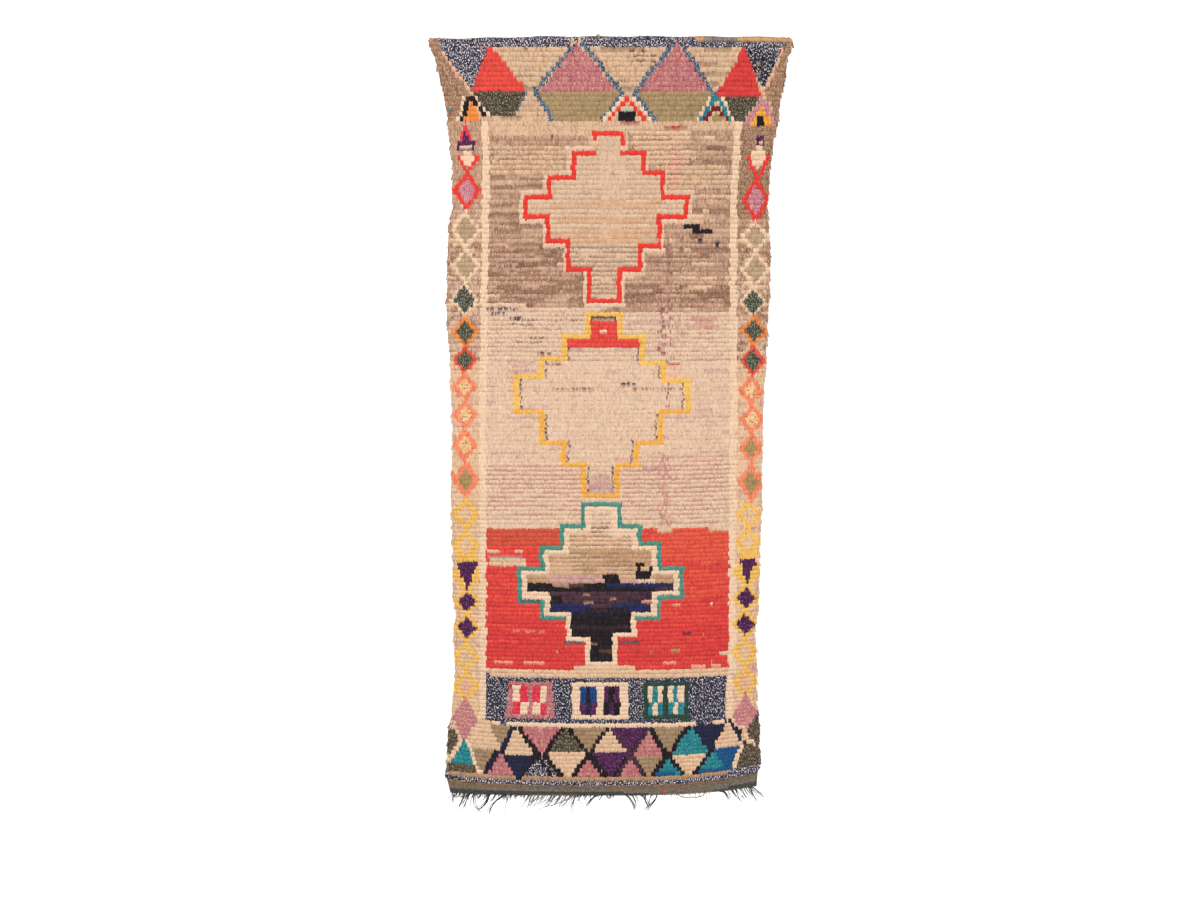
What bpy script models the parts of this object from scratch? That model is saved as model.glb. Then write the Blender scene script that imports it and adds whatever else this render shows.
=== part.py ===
"""A hand-knotted Moroccan wool rug, lying flat on the floor.

The rug is one thick cloth. Its rows of knots lie over each other like shingles, each row's pile
combed towards the foot, between a thin flat-woven end at the head and a wider one at the foot.
Loose warp ends stand out from the foot as a sparse fringe.

X runs across the rug and Y along it, with the head at +Y. The underside lies at Z = 0.
Run it with: blender --background --python part.py
"""

import random
from collections import namedtuple

import bmesh
import bpy

# Lengths along the rug, in metres from its middle
HEAD_EDGE = 1.599
PILE_START = 1.578
PILE_END = -1.466
FOOT_EDGE = -1.515

# Thicknesses of the cloth
PILE_CREST = 0.0125
PILE_GROOVE = 0.0085
WOVEN_END = 0.004
EDGE_SHARE = 0.6
CREST_LUMP = 0.0009
STEP_RUN = 0.002

# How one row of pile is shaped
CREST_PLACE = 0.64
TUFT_REACH = 0.005
GROOVE_REACH = -0.002
UNDERSIDE_INSET = 0.002

# The columns of points across the cloth, from -1 at the left edge to 1 at the right
COLUMNS = (-1.0, -0.965, -0.5, 0.0, 0.5, 0.965, 1.0)
BEND_POWER = 3

# The fringe and the strip that holds its roots
PIECE_GAP = 0.0003
STRIP_WIDTH = 0.006
STRIP_THICKNESS = 0.003
STRIP_END_INSET = 0.003
ROOT_WIDTH = 0.0028
TIP_WIDTH = 0.0014
TIP_THICKNESS = 0.0012
STRAND_STEPS = 3
LENGTH_SPREAD = 0.16
LEAN_SPREAD = 0.02

# Left and right edges of the cloth at stations along it
Edge = namedtuple("Edge", "along left right")
EDGES = (
    Edge(1.599, -0.744, 0.736),
    Edge(1.550, -0.736, 0.744),
    Edge(1.501, -0.715, 0.720),
    Edge(1.439, -0.703, 0.715),
    Edge(1.378, -0.683, 0.703),
    Edge(1.316, -0.674, 0.691),
    Edge(1.255, -0.662, 0.683),
    Edge(1.132, -0.654, 0.662),
    Edge(1.070, -0.646, 0.654),
    Edge(0.947, -0.642, 0.642),
    Edge(0.886, -0.642, 0.638),
    Edge(0.824, -0.654, 0.642),
    Edge(0.701, -0.662, 0.650),
    Edge(0.517, -0.666, 0.646),
    Edge(0.394, -0.666, 0.638),
    Edge(0.332, -0.658, 0.638),
    Edge(0.148, -0.650, 0.625),
    Edge(-0.037, -0.642, 0.617),
    Edge(-0.283, -0.650, 0.617),
    Edge(-0.467, -0.642, 0.609),
    Edge(-0.713, -0.642, 0.601),
    Edge(-0.775, -0.629, 0.597),
    Edge(-0.836, -0.638, 0.588),
    Edge(-1.021, -0.633, 0.597),
    Edge(-1.144, -0.642, 0.592),
    Edge(-1.205, -0.650, 0.605),
    Edge(-1.267, -0.662, 0.605),
    Edge(-1.390, -0.666, 0.609),
    Edge(-1.451, -0.674, 0.601),
    Edge(-1.501, -0.658, 0.601),
)

# How far a row's two ends lie towards the head of its middle
Bend = namedtuple("Bend", "along left right")
BENDS = (
    Bend(1.599, 0.004, -0.004),
    Bend(1.255, 0.000, 0.000),
    Bend(0.500, 0.000, 0.000),
    Bend(-0.430, 0.000, 0.020),
    Bend(-1.040, 0.018, 0.022),
    Bend(-1.226, 0.030, 0.033),
    Bend(-1.466, 0.026, 0.056),
    Bend(-1.515, 0.012, 0.039),
)

# The distance from one row of knots to the next
Pitch = namedtuple("Pitch", "along size")
PITCHES = (
    Pitch(1.578, 0.0203),
    Pitch(0.760, 0.0200),
    Pitch(0.600, 0.0183),
    Pitch(-0.400, 0.0180),
    Pitch(-0.550, 0.0170),
    Pitch(-1.466, 0.0168),
)

# Runs of warp ends along the foot: where they root, how long they are and how they lean
# A positive lean is towards +X, in radians, and curl is what it gains from root to tip
Group = namedtuple("Group", "first last count length first_lean last_lean curl")
GROUPS = (
    Group(-0.650, -0.640, 2, 0.037, 0.10, 0.25, 0.1),
    Group(-0.613, -0.576, 5, 0.066, -0.40, -0.30, 0.1),
    Group(-0.560, -0.535, 3, 0.060, -0.45, -0.40, 0.9),
    Group(-0.512, -0.488, 4, 0.055, -0.15, -0.20, -0.25),
    Group(-0.482, -0.466, 3, 0.016, -0.40, -0.40, 0.0),
    Group(-0.433, -0.433, 1, 0.098, -0.85, -0.85, 0.35),
    Group(-0.416, -0.416, 1, 0.056, -0.20, -0.20, 0.0),
    Group(-0.405, -0.350, 7, 0.013, -0.40, -0.40, 0.0),
    Group(-0.338, -0.207, 14, 0.062, -0.20, -0.80, 0.1),
    Group(-0.195, -0.137, 6, 0.058, -0.85, -0.30, 0.1),
    Group(-0.126, -0.126, 1, 0.068, 0.35, 0.35, 0.25),
    Group(-0.109, -0.078, 4, 0.013, -0.20, -0.20, 0.0),
    Group(-0.059, -0.039, 3, 0.047, -0.70, -0.60, 0.3),
    Group(-0.024, 0.044, 6, 0.012, -0.10, 0.20, 0.0),
    Group(0.064, 0.121, 6, 0.060, 0.55, 0.25, -0.1),
    Group(0.134, 0.187, 5, 0.060, 0.15, -0.40, -0.05),
    Group(0.219, 0.264, 5, 0.015, 0.00, 0.10, 0.0),
    Group(0.300, 0.350, 4, 0.012, 0.10, 0.10, 0.0),
    Group(0.385, 0.416, 3, 0.034, 0.10, 0.30, -0.2),
    Group(0.433, 0.510, 9, 0.034, 0.60, 0.45, 0.0),
    Group(0.521, 0.592, 8, 0.040, 0.45, 0.80, 0.1),
)

# One line of points across the cloth: its height, and how far its ends pass the edge
Line = namedtuple("Line", "along height reach lump")

WOOL_COLOUR = (0.62, 0.42, 0.28, 1.0)
WARP_COLOUR = (0.11, 0.10, 0.10, 1.0)
WOOL_ROUGHNESS = 0.95


def between(table, along, column):
    """Read a column of a table, between the two stations that enclose a place along the rug."""
    above = table[0]
    for below in table:
        if below.along <= along:
            break
        above = below
    if above.along == below.along or along < below.along:
        return getattr(below, column)
    share = (above.along - along) / (above.along - below.along)
    return getattr(above, column) * (1.0 - share) + getattr(below, column) * share


def bend_at(along, across):
    """How far a row's point lies towards the head of the row's middle."""
    side = "left" if across < 0.0 else "right"
    return between(BENDS, along, side) * abs(across) ** BEND_POWER


def row_places():
    """The rows of knots from head to foot, fitted so that the last one ends at the foot's weave."""
    places = [PILE_START]
    while places[-1] > PILE_END:
        places.append(places[-1] - between(PITCHES, places[-1], "size"))
    stretch = (PILE_START - PILE_END) / (PILE_START - places[-1])
    return [PILE_START - (PILE_START - place) * stretch for place in places]


def cloth_lines(rng):
    """The lines of points across the cloth: its woven ends, and a groove and a crest a row."""
    lines = [
        Line(HEAD_EDGE, WOVEN_END, 0.0, 0.0),
        Line(PILE_START + STEP_RUN, WOVEN_END, 0.0, 0.0),
    ]
    places = row_places()
    for top, bottom in zip(places, places[1:]):
        crest = top + (bottom - top) * CREST_PLACE
        lines.append(Line(top, PILE_GROOVE, GROOVE_REACH, 0.0))
        lines.append(Line(crest, PILE_CREST, rng.uniform(0.0, TUFT_REACH), CREST_LUMP))
    lines.append(Line(PILE_END, PILE_GROOVE, GROOVE_REACH, 0.0))
    lines.append(Line(PILE_END - STEP_RUN, WOVEN_END, GROOVE_REACH, 0.0))
    lines.append(Line(FOOT_EDGE, WOVEN_END, GROOVE_REACH, 0.0))
    return lines


def line_place(line, across, inset=0.0):
    """Where a point of a line lies, in X and Y."""
    y = line.along + bend_at(line.along, across)
    left = between(EDGES, line.along + bend_at(line.along, -1.0), "left") - line.reach + inset
    right = between(EDGES, line.along + bend_at(line.along, 1.0), "right") + line.reach - inset
    x = (left + right) / 2.0 + across * (right - left) / 2.0
    return x, y


def line_height(line, across, rng):
    """The cloth's height at a point of a line: thinner at the two edges, lumpy between them."""
    if abs(across) == 1.0:
        return line.height * EDGE_SHARE
    return line.height + rng.uniform(-line.lump, line.lump)


def add_row_of_points(bm, line, rng):
    """The points of one line on the cloth's upper side."""
    points = []
    for across in COLUMNS:
        x, y = line_place(line, across)
        points.append(bm.verts.new((x, y, line_height(line, across, rng))))
    return points


def add_underside_points(bm, line, is_end):
    """The points under one line: both edges, or every column at the cloth's two ends."""
    columns = COLUMNS if is_end else (-1.0, 1.0)
    points = []
    for across in columns:
        x, y = line_place(line, across, UNDERSIDE_INSET)
        points.append(bm.verts.new((x, y, 0.0)))
    return points


def add_end_wall(bm, upper, lower):
    """The upright face at one end of the cloth, a strip of quads."""
    for column in range(len(COLUMNS) - 1):
        corners = (upper[column], upper[column + 1], lower[column + 1], lower[column])
        bm.faces.new(corners)


def build_cloth(rng):
    """The rug's cloth: one closed solid with a ridge for each row of pile."""
    bm = bmesh.new()
    lines = cloth_lines(rng)
    last = len(lines) - 1
    upper = [add_row_of_points(bm, line, rng) for line in lines]
    lower = [add_underside_points(bm, line, index in (0, last)) for index, line in enumerate(lines)]
    for index in range(last):
        for column in range(len(COLUMNS) - 1):
            bm.faces.new((upper[index][column], upper[index + 1][column],
                          upper[index + 1][column + 1], upper[index][column + 1]))
        bm.faces.new((upper[index][0], lower[index][0], lower[index + 1][0], upper[index + 1][0]))
        bm.faces.new((upper[index][-1], upper[index + 1][-1], lower[index + 1][-1], lower[index][-1]))
        bm.faces.new(lower[index] + list(reversed(lower[index + 1])))
    add_end_wall(bm, upper[0], lower[0])
    add_end_wall(bm, upper[last], lower[last])
    bmesh.ops.recalc_face_normals(bm, faces=bm.faces)
    return bm


def foot_edge_points():
    """The cloth's lower foot edge, corner by corner from left to right."""
    line = Line(FOOT_EDGE, WOVEN_END, GROOVE_REACH, 0.0)
    return [line_place(line, across) for across in COLUMNS]


def foot_edge_at(x):
    """How far along the rug the foot edge lies at a place across it."""
    points = foot_edge_points()
    for (x0, y0), (x1, y1) in zip(points, points[1:]):
        if x <= x1:
            break
    return y0 + (y1 - y0) * (x - x0) / (x1 - x0)


def fringe_strands(rng):
    """Root place, length, lean and curl of each strand, from left to right."""
    strands = []
    for group in GROUPS:
        for index in range(group.count):
            share = index / max(1, group.count - 1)
            root = group.first + (group.last - group.first) * share
            lean = group.first_lean + (group.last_lean - group.first_lean) * share
            lean += rng.uniform(-LEAN_SPREAD, LEAN_SPREAD)
            length = group.length * rng.uniform(1.0 - LENGTH_SPREAD, 1.0 + LENGTH_SPREAD)
            strands.append((root, length, lean, group.curl))
    return strands


def strip_stations(strands):
    """The places across the rug where the strip's faces meet: ends, corners and strand roots."""
    corners = [x for x, _ in foot_edge_points()]
    stations = {corners[0] + STRIP_END_INSET, corners[-1] - STRIP_END_INSET}
    for root, _, _, _ in strands:
        stations.add(root - ROOT_WIDTH / 2.0)
        stations.add(root + ROOT_WIDTH / 2.0)
    for corner in corners[2:-2]:
        if min(abs(corner - root) for root, _, _, _ in strands) > ROOT_WIDTH:
            stations.add(corner)
    return sorted(stations)


def add_strip(bm, stations):
    """The narrow strip beside the foot edge. Returns its front faces from left to right."""
    rings = []
    for x in stations:
        back = foot_edge_at(x) - PIECE_GAP
        front = back - STRIP_WIDTH
        ring = [
            bm.verts.new((x, front, 0.0)),
            bm.verts.new((x, front, STRIP_THICKNESS)),
            bm.verts.new((x, back, STRIP_THICKNESS)),
            bm.verts.new((x, back, 0.0)),
        ]
        rings.append(ring)
    fronts = []
    for ring, following in zip(rings, rings[1:]):
        sides = []
        for corner in range(4):
            after = (corner + 1) % 4
            sides.append(bm.faces.new((ring[corner], following[corner], following[after], ring[after])))
        fronts.append(sides[0])
    bm.faces.new(rings[0])
    bm.faces.new(rings[-1])
    return fronts


def strand_path(root, length, lean, curl):
    """The middle of a strand at the end of each of its steps."""
    x = root
    y = foot_edge_at(root) - PIECE_GAP - STRIP_WIDTH
    points = []
    for step in range(STRAND_STEPS):
        share = step / (STRAND_STEPS - 1)
        slope = lean + curl * share
        x += slope * length / STRAND_STEPS
        y -= max(0.3, 1.0 - abs(slope) / 2.0) * length / STRAND_STEPS
        points.append((x, y))
    return points


def grow_strand(bm, face, strand):
    """Draw one strand out of a front face of the strip, flat on the floor and thinner at its tip."""
    for step, (x, y) in enumerate(strand_path(*strand)):
        share = (step + 1) / STRAND_STEPS
        width = ROOT_WIDTH + (TIP_WIDTH - ROOT_WIDTH) * share
        height = STRIP_THICKNESS + (TIP_THICKNESS - STRIP_THICKNESS) * share
        face = bmesh.ops.extrude_discrete_faces(bm, faces=[face])["faces"][0]
        middle = sum(point.co.x for point in face.verts) / len(face.verts)
        for point in face.verts:
            side = -0.5 if point.co.x < middle else 0.5
            top = point.co.z > 0.0
            point.co = (x + side * width, y, height if top else 0.0)


def build_fringe(rng):
    """The warp ends at the foot, fused at their roots into one narrow strip."""
    bm = bmesh.new()
    strands = fringe_strands(rng)
    stations = strip_stations(strands)
    fronts = add_strip(bm, stations)
    for strand in strands:
        root = strand[0]
        place = sum(1 for x in stations if x < root) - 1
        grow_strand(bm, fronts[place], strand)
    bmesh.ops.recalc_face_normals(bm, faces=bm.faces)
    return bm


def make_material(name, colour):
    """A plain matt wool."""
    material = bpy.data.materials.new(name)
    material.use_nodes = True
    shader = material.node_tree.nodes["Principled BSDF"]
    shader.inputs["Base Color"].default_value = colour
    shader.inputs["Roughness"].default_value = WOOL_ROUGHNESS
    shader.inputs["Metallic"].default_value = 0.0
    return material


def add_object(name, bm, material):
    """Turn a finished mesh into a named object."""
    mesh = bpy.data.meshes.new(name)
    bm.to_mesh(mesh)
    bm.free()
    mesh.materials.append(material)
    part = bpy.data.objects.new(name, mesh)
    bpy.context.scene.collection.objects.link(part)
    return part


def centre_on_origin(parts):
    """Move the meshes so that the rug's box is centred over the origin."""
    points = [vertex.co for part in parts for vertex in part.data.vertices]
    middle_x = (min(p.x for p in points) + max(p.x for p in points)) / 2.0
    middle_y = (min(p.y for p in points) + max(p.y for p in points)) / 2.0
    for part in parts:
        for vertex in part.data.vertices:
            vertex.co.x -= middle_x
            vertex.co.y -= middle_y


def main():
    for existing in list(bpy.data.objects):
        bpy.data.objects.remove(existing, do_unlink=True)
    wool = make_material("pile_wool", WOOL_COLOUR)
    warp = make_material("warp_wool", WARP_COLOUR)
    rug = add_object("rug", build_cloth(random.Random(11)), wool)
    fringe = add_object("fringe", build_fringe(random.Random(23)), warp)
    centre_on_origin([rug, fringe])


main()
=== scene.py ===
"""The looks of a hand-knotted Moroccan wool rug, lying flat under soft light.

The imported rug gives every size: its rows of knots, its uneven edges and its woven ends are read
from the frame. The pattern is a weaver's chart, painted knot by knot, and each knot is a tuft of
pile that leans over the next row towards the foot. Places on the chart are pixels of the 1200 by
900 view from above, with x to the right and y towards the foot. Everything else is in metres, but
for the sizes of the loose threads.

Tables are text with a name on each line. After its colon come the numbers of its entries, with a
slash between two entries, and a place is written x,y. In a drawing list the name is a kind of mark
and its yarn, and the numbers are:
    patch: left right top bottom
    shape: its corners
    line: width, then its places
    dash: left right y
    rungs: left right top bottom, and how uneven
    streaks and tips: knots long, share, row pull, then the box that they lie in, if any
"""

import math
from collections import namedtuple
from statistics import NormalDist

import bpy
import numpy as np
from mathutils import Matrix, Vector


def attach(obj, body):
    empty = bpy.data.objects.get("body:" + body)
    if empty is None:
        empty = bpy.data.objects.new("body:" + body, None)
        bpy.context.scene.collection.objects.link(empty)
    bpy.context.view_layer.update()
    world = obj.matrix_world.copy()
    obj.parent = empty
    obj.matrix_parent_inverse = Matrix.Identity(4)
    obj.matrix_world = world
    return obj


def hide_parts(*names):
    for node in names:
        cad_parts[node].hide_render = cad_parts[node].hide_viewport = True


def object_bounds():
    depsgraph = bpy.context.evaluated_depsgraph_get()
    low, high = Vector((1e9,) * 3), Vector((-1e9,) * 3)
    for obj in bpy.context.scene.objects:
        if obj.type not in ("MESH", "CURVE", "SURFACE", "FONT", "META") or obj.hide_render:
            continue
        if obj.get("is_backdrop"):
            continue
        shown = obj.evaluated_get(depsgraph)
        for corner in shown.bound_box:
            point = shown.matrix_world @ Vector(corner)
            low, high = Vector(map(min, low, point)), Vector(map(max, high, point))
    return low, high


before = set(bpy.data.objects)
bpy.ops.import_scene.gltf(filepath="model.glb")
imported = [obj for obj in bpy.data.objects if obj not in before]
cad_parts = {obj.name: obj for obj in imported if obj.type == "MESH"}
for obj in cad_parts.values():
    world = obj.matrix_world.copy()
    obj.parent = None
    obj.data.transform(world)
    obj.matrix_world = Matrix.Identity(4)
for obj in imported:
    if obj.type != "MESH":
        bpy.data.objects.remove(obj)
CAD_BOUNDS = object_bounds()

# The view from above
PIXEL = 0.0041
VIEW_WIDTH_PX = 1200.0
VIEW_MIDDLE_PX = (600.0, 450.0)
RUG_MIDDLE_PX = 610.5
RUG_HEAD_PX = 35.0
CAMERA_HEIGHT = 12.0
FLOOR_SIZE = 40.0
FLOOR_Z = -0.0002
FLOOR_WHITE = (0.93, 0.93, 0.93, 1.0)
FLOOR_ROUGHNESS = 0.9
FLOOR_GLOW = 0.12
WHITE = (1.0, 1.0, 1.0, 1.0)
SENSOR = 36.0

# Reading the cloth's lines from the frame
FLAT = 0.0001
HALF_WAIST = 0.5
INNER_COLUMN = 0.015
MIDDLE_REACH = 0.1
ABOVE_FLOOR = 0.002
BEND_POWER = 3
END_LINES = 5
UNDERSIDE_INSET = 0.002

# The worn head edge: it sags at its left corner and waves along its width
HEAD_SAG = 0.013
SAG_FROM = 0.35
HEAD_WAVE = 0.0018
HEAD_WAVES = 21.0

# The knots and their tufts
KNOTS = 256
STRIPS = 4
TUFT_HALVES_AT = (0.62, 1.10)
TUFT_ROOT_Z = 0.0070
TUFT_CREST_Z = 0.0121
TUFT_SHOULDER = 0.0006
TUFT_ROOT_RISE = 0.0008
TUFT_ROOT_DROP = 0.0030
TUFT_ROOT_DEPTH = 0.18
TUFT_BELLY_Z = 0.0040
TUFT_TIP_Z = 0.0112
TUFT_CREST_AT = 0.42
TUFT_TIP_AT = 1.34
TUFT_FATNESS = 1.25
TUFT_TIP_SHARE = 0.88
TUFT_LEAN = 0.20
CREST_LEAN = 0.5
TUFT_LENGTH_SPREAD = 0.10
TUFT_HEIGHT_SPREAD = 0.05
TUFT_FAT_SPREAD = 0.06
TUFT_CREST_SPREAD = 0.05
ROW_WAVE = 0.0007
WAVE_KNOTS = 14
EDGE_KNOTS = 2
EDGE_SPLAY = 0.0035
EDGE_SPLAY_MOST = 2.6
EDGE_DROP = 0.72
EDGE_RISE = 0.14
HEAD_RAG = 0.0012
HEAD_BARE = 0.0030
# Painted shade at the tufts' tips, for dotted dark lines between the rows: the darkest factor
TIP_PAINTED_SHADE = 0.88

# The ground weave and the flat-woven ends
GROUND_TOP = 0.0082
GROUND_RELIEF = 0.0006
GROUND_COLUMNS = 96
GROUND_WEAVE = 0.3
# Painted shade: how dark the knots' colour is on the ground's top, down under the pile
GROUND_PAINTED_SHADE = 0.85
WARP_SHARE = 0.10
# Painted shade on the underside: the knot backs, then the recessed lines between them
BACK_PAINTED_SHADES = (0.95, 0.55)
END_TOP = 0.0040
END_RELIEF = 0.0013
END_COLUMNS = 288
END_OVER = 0.0005
END_SPREAD = 0.00012
UNDER_RELIEF = 0.0004
UNDER_OVER = 0.0003
WEFT_PITCH = 0.0030
WEFT_SPREAD = 0.14
WOVEN_SPREAD = 0.12
# Painted shade in the grooves between the wefts of the woven ends
GROOVE_PAINTED_SHADE = 0.70

SEED = 11
rng = np.random.default_rng(SEED)


def srgb_to_linear(tone):
    """Turn a tone of 0 to 255, as seen, into the light that it stands for."""
    share = np.asarray(tone, float) / 255.0
    return np.where(share <= 0.04045, share / 12.92, ((share + 0.055) / 1.055) ** 2.4)


# Reading the cloth from the frame

def cloth_points():
    """The points of the rug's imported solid."""
    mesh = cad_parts["rug"].data
    points = np.empty(len(mesh.vertices) * 3)
    mesh.vertices.foreach_get("co", points)
    return np.unique(points.reshape(-1, 3).round(6), axis=0)


def line_ends(points, side):
    """Where each line of the cloth ends on the left (-1) or the right (1), from head to foot."""
    floor = points[(points[:, 2] < FLAT) & (points[:, 0] * side > HALF_WAIST)]
    floor = floor[np.argsort(-floor[:, 1])]
    outer = floor[:, 0] * side
    beside = np.maximum(np.r_[outer[1], outer[:-1]], np.r_[outer[1:], outer[-2]])
    ends = floor[outer > beside - INNER_COLUMN]
    ends[:, 0] += side * UNDERSIDE_INSET
    return ends


def cloth_lines():
    """Left end, middle height along the rug and right end of each line, from head to foot."""
    points = cloth_points()
    middle = points[(points[:, 2] > ABOVE_FLOOR) & (abs(points[:, 0]) < MIDDLE_REACH)]
    middle = middle[np.argsort(-middle[:, 1])]
    return line_ends(points, -1), middle[:, 1], line_ends(points, 1)


LEFT, MIDDLE_Y, RIGHT = cloth_lines()
ROWS = (len(MIDDLE_Y) - END_LINES) // 2
HEAD_LINE = 0
PILE_HEAD_LINE = 2
PILE_FOOT_LINE = PILE_HEAD_LINE + 2 * ROWS
FOOT_LINE = len(MIDDLE_Y) - 1
TUFT_ROWS = ROWS + 1
ROW_LINES = HEAD_LINE + 2.0 * np.arange(TUFT_ROWS)
ACROSS = -1.0 + (2.0 * np.arange(KNOTS) + 1.0) / KNOTS


def place_on(lines, across):
    """X and Y on the cloth: lines may fall between two, and across runs from -1 to 1."""
    lines = np.asarray(lines, float)[:, None]
    across = np.asarray(across, float)[None, :]
    known = np.arange(len(MIDDLE_Y))
    left_x, right_x, middle_y, left_bend, right_bend = (
        np.interp(lines, known, values) for values in (
            LEFT[:, 0], RIGHT[:, 0], MIDDLE_Y, LEFT[:, 1] - MIDDLE_Y, RIGHT[:, 1] - MIDDLE_Y))
    bend = np.where(across < 0.0, left_bend, right_bend) * abs(across) ** BEND_POWER
    x = (left_x + right_x) / 2.0 + across * (right_x - left_x) / 2.0
    sag = HEAD_SAG * np.clip((-across - SAG_FROM) / (1.0 - SAG_FROM), 0.0, 1.0)
    sag = sag + HEAD_WAVE * (1.0 + np.sin(across * HEAD_WAVES))
    return x, middle_y + bend - sag * np.clip(1.0 - lines / PILE_HEAD_LINE, 0.0, 1.0)


HEAD_Y = LEFT[0, 1]


def rug_place(px, py):
    """X and y on the rug, of a place in the view."""
    return (px - RUG_MIDDLE_PX) * PIXEL, HEAD_Y - (py - RUG_HEAD_PX) * PIXEL


def chart_x(x):
    """The view's pixel across, of a place on the rug."""
    return RUG_MIDDLE_PX + x / PIXEL


def chart_y(y):
    """The view's pixel down, of a place on the rug."""
    return RUG_HEAD_PX + (HEAD_Y - y) / PIXEL


def read_table(text):
    """Name, numbers and places of each entry in a table."""
    for line in text.strip().splitlines():
        name, entries = line.split(": ")
        for entry in entries.split(" / "):
            words = entry.split()
            numbers = [float(word) for word in words if "," not in word]
            yield name, numbers, [tuple(map(float, word.split(","))) for word in words if "," in word]


def read_dyes(text):
    """The dyes of each yarn: the share of its knots, then red, green and blue."""
    yarns = {}
    for yarn, dye, _ in read_table(text):
        yarns.setdefault(yarn, []).append(dye)
    return {yarn: np.array(dyes) for yarn, dyes in yarns.items()}


def smooth_runs(shape, length):
    """Random values that swell and fade along each line, over about so many knots."""
    window = np.hanning(length + 2)[1:-1]
    noise = rng.standard_normal((shape[0], shape[1] + length - 1))
    runs = np.array([np.convolve(row, window, "valid") for row in noise])
    return runs / runs.std()


# The yarns: each is one dye or a mix of dyes, in the tones that they show on the rug

YARNS = read_dyes("""
cream: 0.8 231 191 156 / 0.2 218 174 140
pale cream: 1.0 242 206 173
top cream: 0.8 222 184 150 / 0.2 200 156 122
brown: 0.5 184 143 117 / 0.3 204 164 136 / 0.2 160 119 96
light brown: 0.6 208 170 142 / 0.4 194 152 126
deep brown: 0.6 156 116 94 / 0.4 138 100 82
side brown: 0.5 158 118 92 / 0.3 178 138 110 / 0.2 132 96 74
pink beige: 0.8 232 197 168 / 0.2 218 178 150
orange tan: 0.6 222 176 140 / 0.4 214 166 130
dusty beige: 0.8 224 188 158 / 0.2 210 170 142
row mauve: 0.6 218 164 146 / 0.4 204 144 130
dotted navy: 0.5 84 76 98 / 0.5 216 178 150
dotted brown: 0.5 108 76 66 / 0.5 216 178 150
dotted wine: 0.5 166 104 96 / 0.5 222 184 156
mauve beige: 0.7 212 168 154 / 0.3 198 148 142
red: 0.75 234 80 68 / 0.25 218 66 60
line red: 0.8 238 64 52 / 0.2 226 58 54
pink red: 0.6 222 48 76 / 0.4 232 72 84
crimson: 0.75 223 68 64 / 0.25 208 58 58
brick: 0.8 217 88 67 / 0.2 198 76 58
orange red: 0.8 232 92 70 / 0.2 222 74 60
dark red: 1.0 176 46 44
wine: 1.0 118 38 46
faded wine: 0.6 172 116 104 / 0.4 148 88 86
faded pink: 1.0 238 172 148
yellow: 0.7 246 194 100 / 0.3 240 180 84
deep yellow: 0.7 244 180 86 / 0.3 237 166 72
tent yellow: 0.6 244 180 58 / 0.4 240 148 56
orange: 0.7 240 146 74 / 0.3 230 124 60
coral: 0.7 246 146 108 / 0.3 240 122 92
salmon: 1.0 240 160 130
peach: 0.7 232 184 150 / 0.3 238 168 140
pink: 0.6 194 118 118 / 0.25 176 98 104 / 0.15 214 146 138
lavender: 0.6 206 134 142 / 0.4 184 112 132
mauve: 0.6 204 134 132 / 0.4 188 114 118
purple: 0.7 86 40 84 / 0.3 66 32 66
plum: 0.7 84 56 66 / 0.3 60 42 54
black: 0.8 36 28 32 / 0.2 54 44 48
navy: 0.75 42 44 70 / 0.25 32 34 52
bright navy: 0.6 44 48 92 / 0.4 38 40 68
slate: 0.7 84 92 104 / 0.3 62 70 84
blue: 0.75 36 88 132 / 0.25 34 74 116
royal: 0.7 34 76 136 / 0.3 36 56 110
teal: 0.75 38 126 138 / 0.25 52 146 142
sea green: 0.8 84 150 132 / 0.2 66 130 118
pale teal: 1.0 150 190 176
bottle green: 0.75 46 68 58 / 0.25 60 84 68
forest: 0.7 64 72 60 / 0.3 82 90 74
sage: 0.7 194 164 130 / 0.3 176 146 110
olive: 0.7 176 148 108 / 0.3 158 132 94
olive core: 0.7 178 146 96 / 0.3 158 128 84
khaki: 0.7 170 140 108 / 0.3 152 122 92
dark brown: 0.8 88 60 50 / 0.2 110 78 62
tan: 0.75 218 168 128 / 0.25 200 148 112
grey brown: 0.6 158 126 102 / 0.4 178 144 118
navy heather: 0.7 46 48 70 / 0.3 70 76 100
window heather: 0.7 44 46 66 / 0.3 66 68 88
black heather: 0.7 34 32 38 / 0.3 54 56 74
line heather: 0.6 66 78 98 / 0.4 90 108 126
dark heather: 0.7 76 66 52 / 0.3 96 82 66
green heather: 0.7 66 62 52 / 0.3 88 80 64
speckled: 0.7 248 206 152 / 0.3 246 184 132
border top: 0.5 188 146 118 / 0.3 206 166 136 / 0.2 168 126 102
border mid: 0.5 208 170 146 / 0.3 226 190 164 / 0.2 184 140 122
border low: 0.75 234 194 156 / 0.25 218 174 138
foot weave: 0.6 128 117 104 / 0.25 104 95 86 / 0.15 158 143 124
foot brown: 0.5 144 118 96 / 0.3 118 97 80 / 0.2 162 136 110
head weave: 0.6 200 162 130 / 0.4 176 138 106
head ochre: 0.7 214 168 120 / 0.3 196 146 100
head grey: 0.6 156 140 124 / 0.4 126 114 104
faded tan: 0.7 186 144 118 / 0.3 160 122 98
warm tan: 0.6 202 160 124 / 0.4 188 146 110
light tan: 1.0 216 176 140
band tan: 0.7 184 146 112 / 0.3 166 130 96
foot line: 1.0 206 150 122
foot edge: 0.6 90 88 82 / 0.4 70 70 67
base warp: 0.7 150 122 102 / 0.3 122 98 82
warp dark: 0.6 50 47 47 / 0.4 86 80 75
warp brown: 0.6 112 96 80 / 0.4 148 132 116
warp green: 1.0 48 54 50
warp grey: 0.6 128 118 108 / 0.4 98 90 84
loop tan: 1.0 146 114 80
thread red: 1.0 196 84 68
""")

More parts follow.
